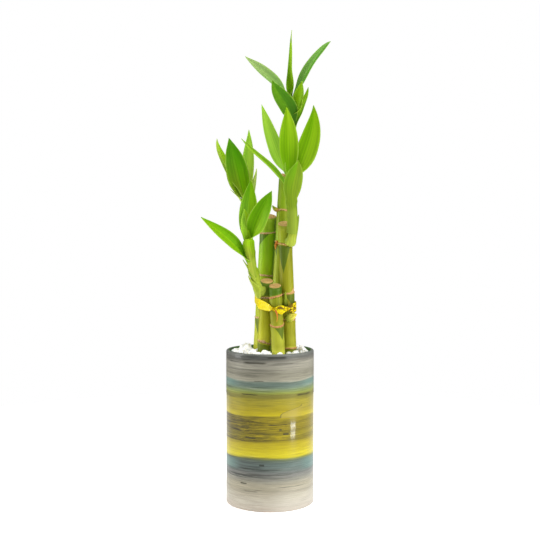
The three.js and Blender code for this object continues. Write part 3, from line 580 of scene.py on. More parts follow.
def skin_finish(cane, settings):
    """A cane's green skin: fine upright fibres, node rings, and the marks of its fallen leaves."""
    f = Finish(cane["name"] + "_skin")
    place = f.place()
    u, v = f.map()
    up = v * SKIN_SPAN + cane["base"][2]
    fibres = f.noise(place, (1.3, 1.3, 0.03), detail=3.0, rough=0.6)
    cloud = f.noise(place, (0.06, 0.06, 0.025), detail=2.0)
    low, high = cane["tints"][0][0], cane["tints"][-1][0]
    # the skin by height; its lighter lowest stops carry painted bounce light from the pebbles
    base = f.ramp(up, cane["tints"], low, high)
    base = f.mix(cloud.rise(0.35, 0.65) * 0.3, base, "#c4cc60", "MULTIPLY")
    base = f.mix(fibres.rise(0.3, 0.7) * 0.2, base, "#ccd040")
    base = f.mix(fibres.rise(0.56, 0.8) * 0.22, base, "#56700a")
    low, high = cane["deep"]
    base = f.mix(up.rise(low, low + 0.8) * up.rise(high + 0.8, high) * 0.9, base,
                 f.mix(fibres, *cane["dark"]))
    radius = sum(cane["radii"]) / 2
    edge = (f.noise(place, (0.7, 0.7, 0.35), detail=2.0) - 0.5) * 0.9
    for height, turn, half, length, lean, kind in cane["marks"]:
        down = (height - up) / length
        centre = (turn / 360 + 0.5) % 1
        around = (u - centre + 0.5).math("FRACT") - 0.5
        away = (around * (math.tau * radius) - down * lean).size()
        wedge = ((1 - down) * half - away + edge).rise(0, 0.7) * down.rise(0, 0.03)
        if kind == "scar":
            base = f.mix(wedge * 0.85, base, f.mix(fibres, "#d2a077", cane["collar"]))
        else:
            base = f.mix(wedge * 0.8, base, f.mix(fibres, "#28480c", "#486618"))
    wavy = up + (f.noise(place, 0.35, 2.0) - 0.5) * 1.3
    ring = 0.0
    seam = 0.0
    for height, _, _ in cane["rings"]:
        ring = wavy.near(height, 0.45, 0.45) + ring
        seam = wavy.near(height - 1.0, 0.1, 0.35) + seam
    fleck = f.noise(place, 0.8, 3.0)
    base = f.mix(ring.rise(0, 0.8), base, f.mix(fleck.rise(0.45, 0.65), cane["collar"], "#a06a38"))
    base = f.mix(seam.rise(0, 1) * fleck.rise(0.35, 0.6) * 0.7, base, "#6b4420")
    spot = f.noise(place, 0.5, 2.0, 0.7).rise(0.74, 0.78)
    base = f.mix(spot * 0.5, base, "#7c6a24")
    rough = settings.roughness + ring.rise(0, 1) * 0.3 + (cloud - 0.5) * 0.1
    return f.done(base, rough, f.relief(fibres + ring.rise(0, 1) * fleck, settings.fibres),
                  {"IOR": 1.45, "Specular IOR Level": 0.4, "Specular Tint": (1, 1, 0.5, 1)})


def cut_finish():
    """A sawn end: pale dry fibres with darker and paler pores."""
    f = Finish("sawn_end")
    place = f.place()
    pores = f.noise(place, 2.6, 3.0, 0.7)
    cloud = f.noise(place, 0.4, 2.0)
    base = f.mix(cloud.rise(0.35, 0.65), "#d4b06a", "#bc9250")
    base = f.mix(pores.rise(0.5, 0.68) * 0.6, base, "#8c6430")
    base = f.mix(pores.rise(0.42, 0.3) * 0.6, base, "#dfc684")
    return f.done(base, 0.85, f.relief(pores, 0.35))


def leaf_finish(name, settings, under=False):
    """A leaf's side: parallel veins along the blade and a paler margin; the underside is glaucous."""
    f = Finish(name)
    u, v = f.map()
    growth = f.node("Attribute", {"attribute_name": "growth"}, output="Color")
    lanes = f.vector(u * 5, v * 0.35)
    veins = f.noise(lanes, 2.6, 3.0, 0.6)
    fine = f.noise(f.vector(u * 14, v * 0.8), 1.6, 2.0, 0.6)
    patches = f.noise(f.vector(u * 1.6, v * 4.0), 1.5, 2.0, 0.5, 0.4)
    # the leaf's greens, with painted fold light and shade where its halves differ
    base = f.mix(veins.rise(0.35, 0.65) * 0.3, growth, "#e0f080", "SOFT_LIGHT")
    base = f.mix(veins.rise(0.6, 0.4) * settings.veins, base, "#7ea43a", "MULTIPLY")
    base = f.mix(fine.rise(0.45, 0.7) * 0.1, base, "#c8e030")
    base = f.mix(patches.rise(0.55, 0.75) * 0.18, base, "#9cc45a", "MULTIPLY")
    margin = (u - 0.5).size()
    base = f.mix(margin.rise(0.44, 0.485) * 0.5, base, "#c8e060")
    midrib = margin.rise(0.035, 0.0) * v.rise(1.0, 0.6)
    base = f.mix(midrib * 0.14, base, "#c8e050")
    base = f.mix(v.rise(0.52, 0.4) * 0.3, base, "#c4d058")
    if under:
        base = f.mix(0.1, base, "#8fb858")
    rough = (fine - 0.5) * 0.1 + (0.54 if under else 0.42)
    return f.done(base, rough, f.relief(veins, settings.relief),
                  {"IOR": 1.45, "Specular IOR Level": 0.12, "Specular Tint": (0.8, 1, 0.3, 1)},
                  "#86c818", settings.through)


def stem_finish():
    """A young stem: pale green with upright fibres."""
    f = Finish("young_stem")
    place = f.place()
    fibres = f.noise(place, (1.4, 1.4, 0.05), detail=2.0)
    cloud = f.noise(place, 0.12, 2.0)
    base = f.mix(cloud.rise(0.35, 0.65), "#b0cc44", "#98b830")
    base = f.mix(fibres.rise(0.5, 0.75) * 0.4, base, "#ccd860")
    return f.done(base, 0.45, f.relief(fibres, 0.12), {"IOR": 1.45})


def bud_finish(bud):
    """A bud's scales: brown where it leaves the cane, then green towards its tip."""
    f = Finish(bud["name"] + "_scales")
    place = f.place()
    u, v = f.map()
    scales = f.noise(f.vector(u * 6, v * 1.4), 1.5, 2.0)
    foot, middle, tip = bud["tints"]
    along = v + (scales - 0.5) * 0.3
    base = f.mix(along.rise(0.25, 0.85), middle, tip)
    base = f.mix(along.rise(0.3, 0.1), base, foot)
    base = f.mix(scales.rise(0.52, 0.62) * 0.45, base, "#6c7c30", "MULTIPLY")
    return f.done(base, 0.6, f.relief(scales + f.noise(place, 0.9, 2.0) * 0.4, 0.5),
                  {"IOR": 1.45, "Specular IOR Level": 0.2})


def root_finish():
    """An aerial root: dry orange-brown with a paler tip."""
    f = Finish("dry_root")
    place = f.place()
    v = f.map()[1]
    bark = f.noise(place, 1.1, 4.0, 0.65)
    base = f.mix(bark.rise(0.35, 0.65), "#cf8034", "#a8601e")
    base = f.mix(v.rise(0.55, 0.95) * 0.6, base, "#e0a032")
    return f.done(base, 0.75, f.relief(bark, 0.3), {"Specular IOR Level": 0.2})


def film_finish(settings):
    """Glossy yellow film, with painted shade in dark orange-brown lines along its creases where it is
    gathered and in its folds at the front.
    """
    f = Finish("yellow_film")
    place = f.place()
    gather = f.node("Attribute", {"attribute_name": "gather"}, output="Fac")
    wrinkle = f.noise(place, (0.5, 0.5, 0.9), detail=4.0, rough=0.6, bend=0.8)
    base = f.mix(wrinkle.rise(0.4, 0.7) * 0.5, (*settings.film, 1), "#f0d200")
    # painted shade: thin dark lines along the creases, strongest where the film is gathered
    line = (f.noise(place, 0.7, 2.0, 0.5, 1.0) - 0.5).size().rise(0.05, 0.0)
    base = f.mix(line * (gather * 0.9 + 0.1), base, "#8c4a0c")
    # painted shade: dark folds on the front right of the band
    crease_shade_noise = f.noise(place, (0.13, 0.13, 0.22), detail=1.0, bend=0.5)
    fold = (crease_shade_noise - 0.5).size().rise(0.05, 0.02)
    x, y, _ = f.apart(place)
    base = f.mix(fold * x.rise(2, 9) * y.rise(-7, -12) * 0.9, base, "#4a2404")
    # painted shade: dark creases where the film is gathered
    base = f.mix((gather * wrinkle).rise(0.34, 0.6) * 0.75, base, "#6a3408")
    return f.done(base, 0.32, f.relief(wrinkle, 0.6),
                  {"Coat Weight": 0.12, "Coat Roughness": 0.1, "Specular IOR Level": 0.25,
                   "Specular Tint": (1, 0.95, 0.4, 1)}, "#f6d800", 0.15)


def floor_finish(settings):
    """A seamless white studio surface."""
    f = Finish("studio_white")
    grain = f.noise(f.place(), 0.02, 2.0)
    base = f.mix(grain * 0.04, (*settings.floor, 1), (0.8, 0.8, 0.8, 1))
    return f.done(base, 0.7, None, {"Emission Color": (1, 1, 1, 1), "Emission Strength": settings.glow})


def sky(settings):
    """A soft dome, brightest overhead; the camera sees plain white."""
    f = Finish("sky", "worlds")
    up = f.apart(f.node("TexCoord", output="Generated"))[2]
    dome = f.node("MapRange", None, {"Value": up, "To Min": settings.horizon})
    lights = f.node("Background", None, {"Color": dome, "Strength": settings.sky})
    seen = f.node("Background", None, {"Color": (1, 1, 1, 1)})
    camera = f.node("LightPath", output="Is Camera Ray")
    blend = f.node("MixShader", None, {0: camera, 1: lights, 2: seen})
    f.node("OutputWorld", None, {"Surface": blend})
    return f.material


# ---- pieces ----

def vase_shape(settings):
    """The vase's half outline turned on the wheel, with a soft foot and a rounded lip."""
    radius, height, wall = settings.radius / MM, settings.height / MM, settings.wall / MM
    foot, floor, lip = 1.6, 6, wall / 2
    inner = radius - wall
    outline = [(0, 0.6), (radius - 9, 0.6), (radius - 7, 0)]
    outline += [(radius - foot + foot * math.sin(a), foot - foot * math.cos(a))
                for a in (math.radians(15 * i) for i in range(7))]
    outline += [(radius, foot + (height - lip - foot) * i / 40) for i in range(1, 41)]
    outline += [(radius - lip + lip * math.cos(a), height - lip + lip * math.sin(a))
                for a in (math.radians(18 * i) for i in range(1, 11))]
    outline += [(inner, height - lip - 10 * i) for i in range(1, 12)]
    outline += [(inner, floor + 6), (inner - 1.5, floor + 2), (inner - 4, floor), (0, floor)]
    bm = turned(outline, 128)
    for vert in bm.verts:
        x, y, z = vert.co
        if math.hypot(x, y) > inner + 0.5 and 3 < z < height - 0.5:
            push_out(vert, 0.05 * noise.noise((x * 0.03, y * 0.03, z * 0.01)) - 0.05)
    return bm


def cane_shape(cane, settings):
    """A cane turned about its own axis, its rings and cut end roughened, then stood in its place."""
    base, top = Vector(cane["base"]), Vector(cane["top"])
    axis = top - base
    length = axis.length
    rings = [(z - base.z, rise, back) for z, rise, back in cane["rings"]]
    heights = {0.3, length - 0.5}
    heights.update(4.0 * i for i in range(1, int(length / 4)))
    for ring, _, _ in rings:
        for step in (0.15, 0.45, 0.8, 1.2, 1.7, 2.4, 3.4):
            heights.update((ring + step, ring - step))
    outline = [(0, 0), (cane["radii"][0] - 0.5, 0)]
    for h in sorted(h for h in heights if h < length - 0.4):
        radius = lerp(*cane["radii"], h / length)
        for ring, _, _ in rings:
            radius += settings.ring / MM * hump(h, ring, 0.6) - 0.2 * hump(h, ring + 1.9, 0.9)
            radius += 0.22 * hump(h, ring - 2.6, 2.4)
        outline.append((radius, h))
    rim = cane["radii"][1]
    outline += [(rim - 0.05, length - 0.5), (rim - 0.3, length - 0.12)]
    outline += [(rim * share, length - dip)
                for share, dip in ((0.92, 0), (0.75, 0.15), (0.5, 0.3), (0.25, 0.2))]
    outline.append((0, length - 0.25))
    bm = turned(outline, 48)
    unroll(bm, SKIN_SPAN)
    for face in bm.faces:
        centre = face.calc_center_median()
        if centre.z > length - 0.3 or centre.z < 0.2:
            face.material_index = 1
    seed = base.x * 3.1 + 50
    for vert in bm.verts:
        x, y, z = vert.co
        turn = math.atan2(y, x)
        if math.hypot(x, y) > 1:
            push_out(vert, 0.22 * noise.noise((x * 0.12 + seed, y * 0.12, z * 0.03)))
        for ring, rise, back in rings:
            sway = 0.35 * math.sin(turn + ring) + 0.2 * math.sin(2 * turn + seed)
            vert.co.z += (sway + x * rise + y * back) * hump(z, ring, 4)
        vert.co.z += y * cane["slope"] * min(max((z - length + 6) / 5.5, 0), 1)
        if z > length - 0.6:
            vert.co.z -= 0.18 + 0.3 * noise.noise((x * 0.9 + seed, y * 0.9, 0))
    place = Matrix.Translation(base) @ Vector((0, 0, 1)).rotation_difference(axis).to_matrix().to_4x4()
    bm.transform(place)
    return bm


def grown_along(cubic, radius_at, around, along):
    """A tapered rod bent along a curve, with rounded ends and its length as v in the UV map."""
    shares = [0.0, 0.004, 0.02, *((i + 0.5) / along for i in range(1, along - 1)), 0.98, 0.996, 1.0]
    rounding = {0.0: 0.0, 0.004: 0.55, 0.02: 0.9, 0.98: 0.9, 0.996: 0.55, 1.0: 0.0}
    bm = turned([(rounding.get(t, 1.0), t) for t in shares], around)
    unroll(bm, 1)
    side = Vector((0, 1, 0))
    for vert in bm.verts:
        x, y, t = vert.co
        tangent = cubic.heading(t)
        across = side.cross(tangent).normalized()
        over = tangent.cross(across)
        vert.co = cubic.at(t) + (across * x + over * y) * radius_at(t)
    bmesh.ops.recalc_face_normals(bm, faces=bm.faces)
    return bm


def bud_outline(t):
    """A bud or root is thickest about a third of the way along and tapers to its tip."""
    return 0.1 + 0.95 * math.sin(math.pi * (0.28 + 0.7 * t))


def stem_radius(shoot, t):
    """A shoot's stem thins as it climbs, from a swelling just above its foot."""
    t = max(t, 0.0)
    return shoot["radius"] * (1.35 - 0.75 * math.sqrt(t)) + shoot["swell"] * hump(t, 0.12, 0.08)


SHEATH_HALF_ANGLE = math.radians(105)
SHEATH_ROWS = 0.25  # the share of a leaf's rows that its sheath takes
CORE_GAP = 0.6  # from the stem to the innermost leaf's sheath
SHEATH_GAP = 0.65  # from the stem to the first sheath round it
SHEATH_STEP = 0.95  # from each sheath to the next one over it


class Sheet:
    """The middle surface of a leaf or bract: a sheath that clasps the stem, then the blade."""

    def __init__(self, facts):
        self.facts = facts
        self.shoot = SHOOTS[facts["name"].split("_")[0]]
        self.stem = Cubic(self.shoot["curve"])
        angle = math.radians(facts["side"])
        self.outward = Vector((math.cos(angle), math.sin(angle), 0))
        self.foot, self.mouth = facts["clasp"]
        self.start = self.sheath_frame(self.mouth)
        tip, point = Vector(facts["tip"]), self.start[0]
        self.blade = Cubic([point, point + Vector(facts["leave"]), tip + Vector(facts["arrive"]), tip])
        self.sheath_width = 2 * SHEATH_HALF_ANGLE * self.clasp_radius(self.mouth)
        self.faces = Vector(facts["faces"]).normalized() if "faces" in facts else self.start[2]

    def clasp_radius(self, t):
        """The sheath's radius at a share of the stem."""
        layer = self.facts["layer"]
        flare = self.facts.get("flare", 0) * (t - self.foot) / (self.mouth - self.foot)
        gap = CORE_GAP if layer < 0 else SHEATH_GAP + SHEATH_STEP * layer
        return stem_radius(self.shoot, t) + gap + flare

    def sheath_frame(self, t):
        """The sheath's middle line at a share of the stem: its point, heading and way inwards."""
        tangent = self.stem.heading(t)
        away = (self.outward - tangent * self.outward.dot(tangent)).normalized()
        return self.stem.at(t) + away * self.clasp_radius(t), tangent, -away

    def blade_frame(self, v):
        """The blade's middle line at a share of its length: its point, heading and way inwards."""
        tangent = self.start[1].lerp(self.blade.heading(v), smooth(v / 0.12)).normalized()
        inward = self.start[2].lerp(self.faces, smooth(v / 0.45))
        inward = (inward - tangent * inward.dot(tangent)).normalized()
        turn = Matrix.Rotation(math.radians(self.facts.get("twist", 0)) * smooth(v), 3, tangent)
        return self.blade.at(v), tangent, turn @ inward

    def at(self, row, across):
        """The surface at a row, -1 at the sheath's foot, 0 at its mouth and 1 at the tip."""
        facts, v = self.facts, max(row, 0.0)
        t = lerp(self.foot, self.mouth, 1 + min(row, 0.0))
        point, tangent, inward = self.blade_frame(v) if row > 0 else self.sheath_frame(t)
        curl = self.clasp_radius(t) * (1 + 0.4 * v)
        width = 2 * SHEATH_HALF_ANGLE * curl * lerp(facts.get("hold", 1), 1, 1 + min(row, 0.0))
        crease, wave = 0.0, 0.0
        if row > 0 and "point" in facts:
            blunt = facts["point"] < 0.5
            width = self.sheath_width * (math.sqrt(1 - v ** 5) if blunt else (1 - v) ** facts["point"]) + 0.4
        elif row > 0:
            w = facts["widest"]
            shape = (v / w) ** (2 * w) * ((1 - v) / (1 - w)) ** (2 - 2 * w) if v < 1 else 0.0
            width = self.sheath_width * (1 - smooth(v / facts["funnel"])) + facts["width"] * shape + 0.3
            curl = lerp(self.clasp_radius(self.mouth), facts["cup"] * facts["width"], smooth(v / 0.35))
            crease = facts["crease"] * smooth(v / 0.2)
            phase = facts["tip"][0] * 0.7
            wave = 0.022 * facts["width"] * smooth(v / 0.3) * across * across * math.sin(
                v * 13 + phase + (1.6 if across > 0 else 0))
        lateral = inward.cross(tangent)
        bend = across * width / 2 / curl
        edge = curl - math.cos(width / 2 / curl) * curl
        lift = lerp(curl - math.cos(bend) * curl, abs(across) * edge, crease)
        return point + lateral * math.sin(bend) * curl + inward * (lift + wave)


def leaf_piece(facts, settings, slot, upper, under):
    """One leaf or bract, with its colours along it and a solid thickness."""
    sheet = Sheet(facts)
    rows, lanes = (30, 18) if "point" in facts else (64, 20)
    bm = bmesh.new()
    bmesh.ops.create_grid(bm, x_segments=rows, y_segments=lanes, size=0.5)
    uv = bm.loops.layers.uv.new("leaf")
    growth = bm.verts.layers.float_color.new("growth")
    shades = [Vector(colour(GREENS[shade])) for shade in facts["colours"]]
    spots = {}
    for vert in bm.verts:
        share, across = vert.co.x + 0.5, 2 * vert.co.y
        if share < SHEATH_ROWS:
            row = share / SHEATH_ROWS - 1
        else:
            row = ((share - SHEATH_ROWS) / (1 - SHEATH_ROWS)) ** 1.25
        spots[vert] = (row, across)
        vert.co = sheet.at(row, across)
        # each half's greens along the blade; where the halves differ, they carry painted light and shade of
        # the fold
        half_greens_lit_and_shaded = [pair[0].lerp(pair[1], smooth(row * 1.1)) for pair in (shades[:2], shades[-2:])]
        vert[growth] = half_greens_lit_and_shaded[0].lerp(half_greens_lit_and_shaded[1], smooth(across * 4 + 0.5))
    for face in bm.faces:
        for loop in face.loops:
            row, across = spots[loop.vert]
            loop[uv].uv = ((across + 1) / 2, (row + 1) / 2)
    bm.normal_update()
    middle = min(bm.faces, key=lambda f: abs(spots[f.verts[0]][0] - 0.3) + abs(spots[f.verts[0]][1]))
    if middle.normal.dot(sheet.blade_frame(0.3)[2]) < 0:
        bmesh.ops.reverse_faces(bm, faces=bm.faces)
    piece = stand_in("green_" + facts["name"], bm, [facts["name"]], slot, upper, under)
    thicken(piece, settings.thickness).material_offset = 1


def stone_shape(bm, centre, size, turn, seed, level):
    """Adds one tumbled stone to a shape."""
    made = bmesh.ops.create_icosphere(bm, subdivisions=level, radius=0.5)["verts"]
    spin = Matrix.Rotation(math.radians(turn), 3, "Z")
    for vert in made:
        p = vert.co.normalized()
        bump = 0.3 * noise.noise(p * 1.3 + Vector((seed, 0, 0)))
        bump += 0.1 * noise.noise(p * 3 + Vector((0, seed, 0)))
        vert.co *= 0.88 + bump
        vert.co = spin @ Vector([c * s for c, s in zip(vert.co, size)]) + Vector(centre)


def cane_at(cane, z):
    """A cane's centre and radius at a height."""
    share = (z - cane["base"][2]) / (cane["top"][2] - cane["base"][2])
    return Vector(cane["base"]).lerp(Vector(cane["top"]), share), lerp(*cane["radii"], share)


BORE_FOOT = 6.75  # just under the canes' feet
BORE_TOP = 160  # well above the fill
BORE_CLEARANCE = 0.35


def bored(core):
    """The fill's core with a bore for each cane."""
    block = mesh_object("core", core)
    scratch = [block]
    for cane in CANES:
        low, high = (cane_at(cane, z) for z in (BORE_FOOT, BORE_TOP))
        axis = high[0] - low[0]
        turn = Vector((0, 0, 1)).rotation_difference(axis).to_matrix().to_4x4()
        rod = bmesh.new()
        bmesh.ops.create_cone(rod, cap_ends=True, segments=48, radius1=low[1] + BORE_CLEARANCE,
                              radius2=high[1] + BORE_CLEARANCE, depth=axis.length,
                              matrix=Matrix.Translation((low[0] + high[0]) / 2) @ turn)
        scratch.append(mesh_object("rod", rod))
        cut = block.modifiers.new("bore", "BOOLEAN")
        cut.object = scratch[-1]
        cut.operation = "DIFFERENCE"
        cut.solver = "EXACT"
    mesh = bpy.data.meshes.new_from_object(block.evaluated_get(bpy.context.evaluated_depsgraph_get()))
    bm = bmesh.new()
    bm.from_mesh(mesh)
    for spent in (mesh, *[made.data for made in scratch]):
        bpy.data.meshes.remove(spent)
    return bm


# Small stones over the fill: the least and most size, how many places are tried, and how far their
# middles lie from the fill's top at least and at most.
GRAVEL = [(4.6, 7.2, 2600, -0.5, 3.4), (3.2, 4.6, 2600, -1.0, 3.2)]


def gravel_shape(settings, big):
    """The pebble fill: a bored core below, and small stones crowded over its top between the canes."""
    bed = settings.bed / MM
    inner, floor = 36.2, 6.4
    core = [(0, floor), (inner - 4, floor), (inner, 11)]
    core += [(inner, bed - 4), (inner - 1, bed - 3), (0, bed - 3)]
    bm = bored(turned(core, 96))
    chance = random.Random(settings.seed)
    stones = list(big)
    for size_low, size_high, tries, low, high in GRAVEL:
        for _ in range(tries):
            size = chance.uniform(size_low, size_high)
            reach = (inner - size * 0.5) * math.sqrt(chance.random())
            angle = chance.uniform(0, math.tau)
            x, y = reach * math.cos(angle), reach * math.sin(angle)
            z = bed + chance.uniform(low, high) + size * 0.12
            spot = Vector((x, y, z))
            clear = all((Vector((x, y)) - cane_at(cane, z)[0].xy).length > cane_at(cane, z)[1] + size * 0.46
                        for cane in CANES)
            if clear and all((spot - other).length > 0.44 * (size + wide) for other, wide in stones):
                stones.append((spot, size))
                dims = [size * chance.uniform(0.85, 1.2), size * chance.uniform(0.85, 1.1),
                        size * chance.uniform(0.7, 0.95)]
                stone_shape(bm, spot, dims, chance.uniform(0, 360), chance.uniform(0, 90), 2)
    return bm


# Larger loose stones on the bed: place, width, depth, height and turn.
STONES = [
    ((-21, -6), (13, 11, 9.5), 20), ((-24, 9), (11, 12, 9), -35), ((-15.5, -20), (9, 8, 7.5), 50),
    ((-27, -16.5), (7.5, 8.4, 7), 10), ((-5.5, -22.5), (8, 7.5, 7), -20), ((-1.5, -31), (6.4, 5.5, 6.5), 0),
    ((-11, -30.5), (6.6, 6, 6.5), 30), ((29.5, 5), (8, 11, 7.5), 15), ((23, 18.5), (11, 9, 8.5), -40),
    ((9.5, 26.5), (11, 9, 8), 5), ((-7.5, 29), (10, 9, 8), -15), ((-21.5, 22.5), (9.6, 8.5, 8.5), 40),
    ((23, -21), (7.6, 7, 6.5), 25), ((9, -30.5), (6.8, 6, 6), -10),
]


def bundle_point(angle, offset, z):
    """The point of the tight line round the canes that lies at a turn from the bundle's middle."""
    way = Vector((math.cos(angle), math.sin(angle)))
    rims = []
    for cane in CANES:
        centre, radius = cane_at(cane, z)
        rims += [centre.xy + Vector((math.cos(a), math.sin(a))) * (radius + offset) - BUNDLE_CENTRE
                 for a in (math.tau * i / 28 for i in range(28))]
    left = [(p, way.x * p.y - way.y * p.x) for p in rims]
    reach = 0.0
    for p, a in left:
        if a > 0:
            continue
        for q, b in left:
            if b > 0:
                reach = max(reach, way.dot(p.lerp(q, a / (a - b))))
    return BUNDLE_CENTRE + way * reach


def ribbon_row(degrees):
    """The band's width, stand-off and share of gathering at a turn."""
    for (a, wide, bulge), (b, wide_next, bulge_next) in zip(RIBBON_WIDTHS, RIBBON_WIDTHS[1:]):
        if degrees <= b:
            share = smooth((degrees - a) / (b - a))
            break
    gathered = max(hump(degrees, -88, 8), hump(degrees, -49, 7), 0.6 * hump(degrees, -70, 13),
                   0.6 * hump(degrees, -32, 16))
    return lerp(wide, wide_next, share), lerp(bulge, bulge_next, share), gathered


def ribbon_shape(settings):
    """A film band drawn round all five canes, gathered into folds at the front."""
    steps, lanes = 360, 18
    bm = bmesh.new()
    bmesh.ops.create_grid(bm, x_segments=steps, y_segments=lanes, size=0.5)
    gather = bm.verts.layers.float.new("gather")
    height = settings.height / MM
    cache = {}
    for vert in bm.verts:
        step = round((vert.co.x + 0.5) * steps) % steps
        across = 2 * vert.co.y
        angle = -math.pi + math.tau * step / steps
        degrees = math.degrees(angle)
        width, bulge, gathered = ribbon_row(degrees)
        if step not in cache:
            cache[step] = bundle_point(angle, 1.2 + bulge, height)
        spot = cache[step]
        out = (spot - BUNDLE_CENTRE).normalized()
        fold = math.sin(across * 7 + degrees * 0.21) * 0.42 * gathered
        fold += 0.22 * gathered * math.sin(across * 15 - degrees * 0.33)
        fold += 0.12 * noise.noise((spot.x * 0.4, spot.y * 0.4, across * 2))
        jag = 0.7 * gathered * noise.noise((degrees * 0.16, across * 0.7, 3.3))
        middle = height + RIBBON_TILT[0] * spot.x + RIBBON_TILT[1] * spot.y
        spot = spot + out * fold
        vert.co = (spot.x, spot.y, middle + across * width / 2 + jag)
        vert[gather] = gathered
    bmesh.ops.remove_doubles(bm, verts=bm.verts, dist=1e-4)
    bmesh.ops.recalc_face_normals(bm, faces=bm.faces)
    return bm


# ---- settings ----

def length_property(name, description, value):
    """A length in metres."""
    return FloatProperty(name=name, description=description, default=value, min=0.0, unit="LENGTH",
                         subtype="DISTANCE", precision=5)


def share_property(name, description, value):
    """A share from 0 to 1."""
    return FloatProperty(name=name, description=description, default=value, min=0.0, max=1.0,
                         subtype="FACTOR")


def colour_property(name, description, code):
    """A colour from its usual hex code."""
    return FloatVectorProperty(name=name, description=description, default=colour(code)[:3], size=3,
                               min=0.0, max=1.0, subtype="COLOR")


class VaseSettings(bpy.types.PropertyGroup):
    """Sizes and finish of the vase."""
    radius: length_property("Radius", "Outer radius of the vase", VASE_BOX[1][0])
    height: length_property("Height", "Height of the vase", VASE_BOX[1][2])
    wall: length_property("Wall", "Thickness of the wall", 0.0035)
    waver: FloatProperty(name="Waver", description="How far the bands wander, in mm", default=5.0)
    ridges: FloatProperty(name="Ridges", description="Depth of the brush lines, in mm", default=0.07)
    roughness: share_property("Roughness", "How dull the glaze is", 0.34)


class PebbleSettings(bpy.types.PropertyGroup):
    """The white stones in the vase."""
    bed: length_property("Bed height", "Height of the packed stones", BED_BOX[1][2])
    seed: IntProperty(name="Seed", description="Which scatter of small stones to use", default=7)
    stone: colour_property("Stone", "Colour of the marble", "#fcfbf7")


class CaneSettings(bpy.types.PropertyGroup):
    """The canes."""
    ring: length_property("Ring", "How far a node ring stands proud", 0.00055)
    fibres: FloatProperty(name="Fibres", description="Depth of the upright fibres, in mm", default=0.12)
    roughness: share_property("Roughness", "How dull the skin is", 0.4)


class RibbonSettings(bpy.types.PropertyGroup):
    """The tie."""
    height: length_property("Height", "Height of the band's middle", 0.183)
    thickness: length_property("Film", "Thickness of the film", 0.00025)
    film: colour_property("Film colour", "Colour of the film", "#f4e200")


class LeafSettings(bpy.types.PropertyGroup):
    """Leaves and bracts."""
    thickness: length_property("Thickness", "Thickness of a leaf", 0.00045)
    veins: share_property("Veins", "How clearly the veins show", 0.35)
    relief: FloatProperty(name="Relief", description="Height of the veins, in mm", default=0.05)
    through: share_property("Light through", "Share of light that passes the leaf", 0.25)


class StageSettings(bpy.types.PropertyGroup):
    """Camera, lights and floor."""
    distance: length_property("Camera distance", "How far in front the camera stands", 0.929)
    height: length_property("Camera height", "How high the camera stands", 0.2567)
    lens: FloatProperty(name="Lens", description="Focal length", default=68.13, unit="CAMERA")
    tilt: FloatProperty(name="Tilt", description="How far the camera looks down", subtype="ANGLE",
                        default=math.radians(2.74))
    floor: colour_property("Floor", "Colour of the studio surface", "#f7f7f7")
    table: length_property("Table", "Radius of the studio surface", 0.6)
    glow: FloatProperty(name="Floor glow", description="Light from below the studio surface", default=0.45)
    sky: FloatProperty(name="Sky", description="Strength of the light from overhead", default=0.7)
    horizon: FloatProperty(name="Horizon", description="Light from the side, as a share of the sky",
                           default=0.2)


SETTINGS = {"bamboo_vase": VaseSettings, "bamboo_pebbles": PebbleSettings, "bamboo_canes": CaneSettings,
            "bamboo_ribbon": RibbonSettings, "bamboo_leaves": LeafSettings, "bamboo_stage": StageSettings}


# ---- operators ----

class BAMBOO_OT_camera(bpy.types.Operator):
    """Set up the camera"""
    bl_idname = "bamboo.camera"
    bl_label = "Camera"

    def execute(self, context):
        settings = context.scene.bamboo_stage
        data = bpy.data.cameras.new("camera")
        data.lens = settings.lens
        data.sensor_width = 36
        data.clip_start = 0.02
        camera = linked("camera", data)
        camera.location = (0, -settings.distance, settings.height)
        camera.rotation_euler = (math.pi / 2 - settings.tilt, 0, 0)
        context.scene.camera = camera
        return {"FINISHED"}


class BAMBOO_OT_vase(bpy.types.Operator):
    """Build the glazed vase"""
    bl_idname = "bamboo.vase"
    bl_label = "Vase"

    def execute(self, context):
        settings = context.scene.bamboo_vase
        stand_in("striped_vase", vase_shape(settings), ["vase"], "glaze", glaze_finish(settings))
        return {"FINISHED"}


class BAMBOO_OT_pebbles(bpy.types.Operator):
    """Fill the vase with white pebbles"""
    bl_idname = "bamboo.pebbles"
    bl_label = "Pebbles"

    def execute(self, context):
        settings = context.scene.bamboo_pebbles
        marble = marble_finish(settings)
        big = []
        for number, (spot, size, turn) in enumerate(STONES, 1):
            centre = (*spot, settings.bed / MM + 0.3 + size[2] / 2)
            bm = bmesh.new()
            stone_shape(bm, centre, size, turn, number * 7.3, 4)
            stand_in(f"marble_{number:02d}", bm, [f"pebble_{number:02d}"], "pebble", marble)
            big.append((Vector(centre), sum(size) / 3))
        stand_in("marble_gravel", gravel_shape(settings, big), ["pebble_bed"], "pebble", marble)
        return {"FINISHED"}


class BAMBOO_OT_canes(bpy.types.Operator):
    """Grow the five canes"""
    bl_idname = "bamboo.canes"
    bl_label = "Canes"

    def execute(self, context):
        settings = context.scene.bamboo_canes
        sawn = cut_finish()
        for cane in CANES:
            stand_in("green_" + cane["name"], cane_shape(cane, settings), [cane["name"]], "cane",
                     skin_finish(cane, settings), sawn)
        return {"FINISHED"}


class BAMBOO_OT_buds(bpy.types.Operator):
    """Grow the buds and aerial roots"""
    bl_idname = "bamboo.buds"
    bl_label = "Buds and roots"

    def execute(self, context):
        bark = root_finish()
        for bud in BUDS:
            bm = grown_along(Cubic(bud["curve"]), lambda t: bud["radius"] * bud_outline(t), 20, 20)
            slot, finish = ("bud", bud_finish(bud)) if "tints" in bud else ("root", bark)
            stand_in("grown_" + bud["name"], bm, [bud["name"]], slot, finish)
        return {"FINISHED"}


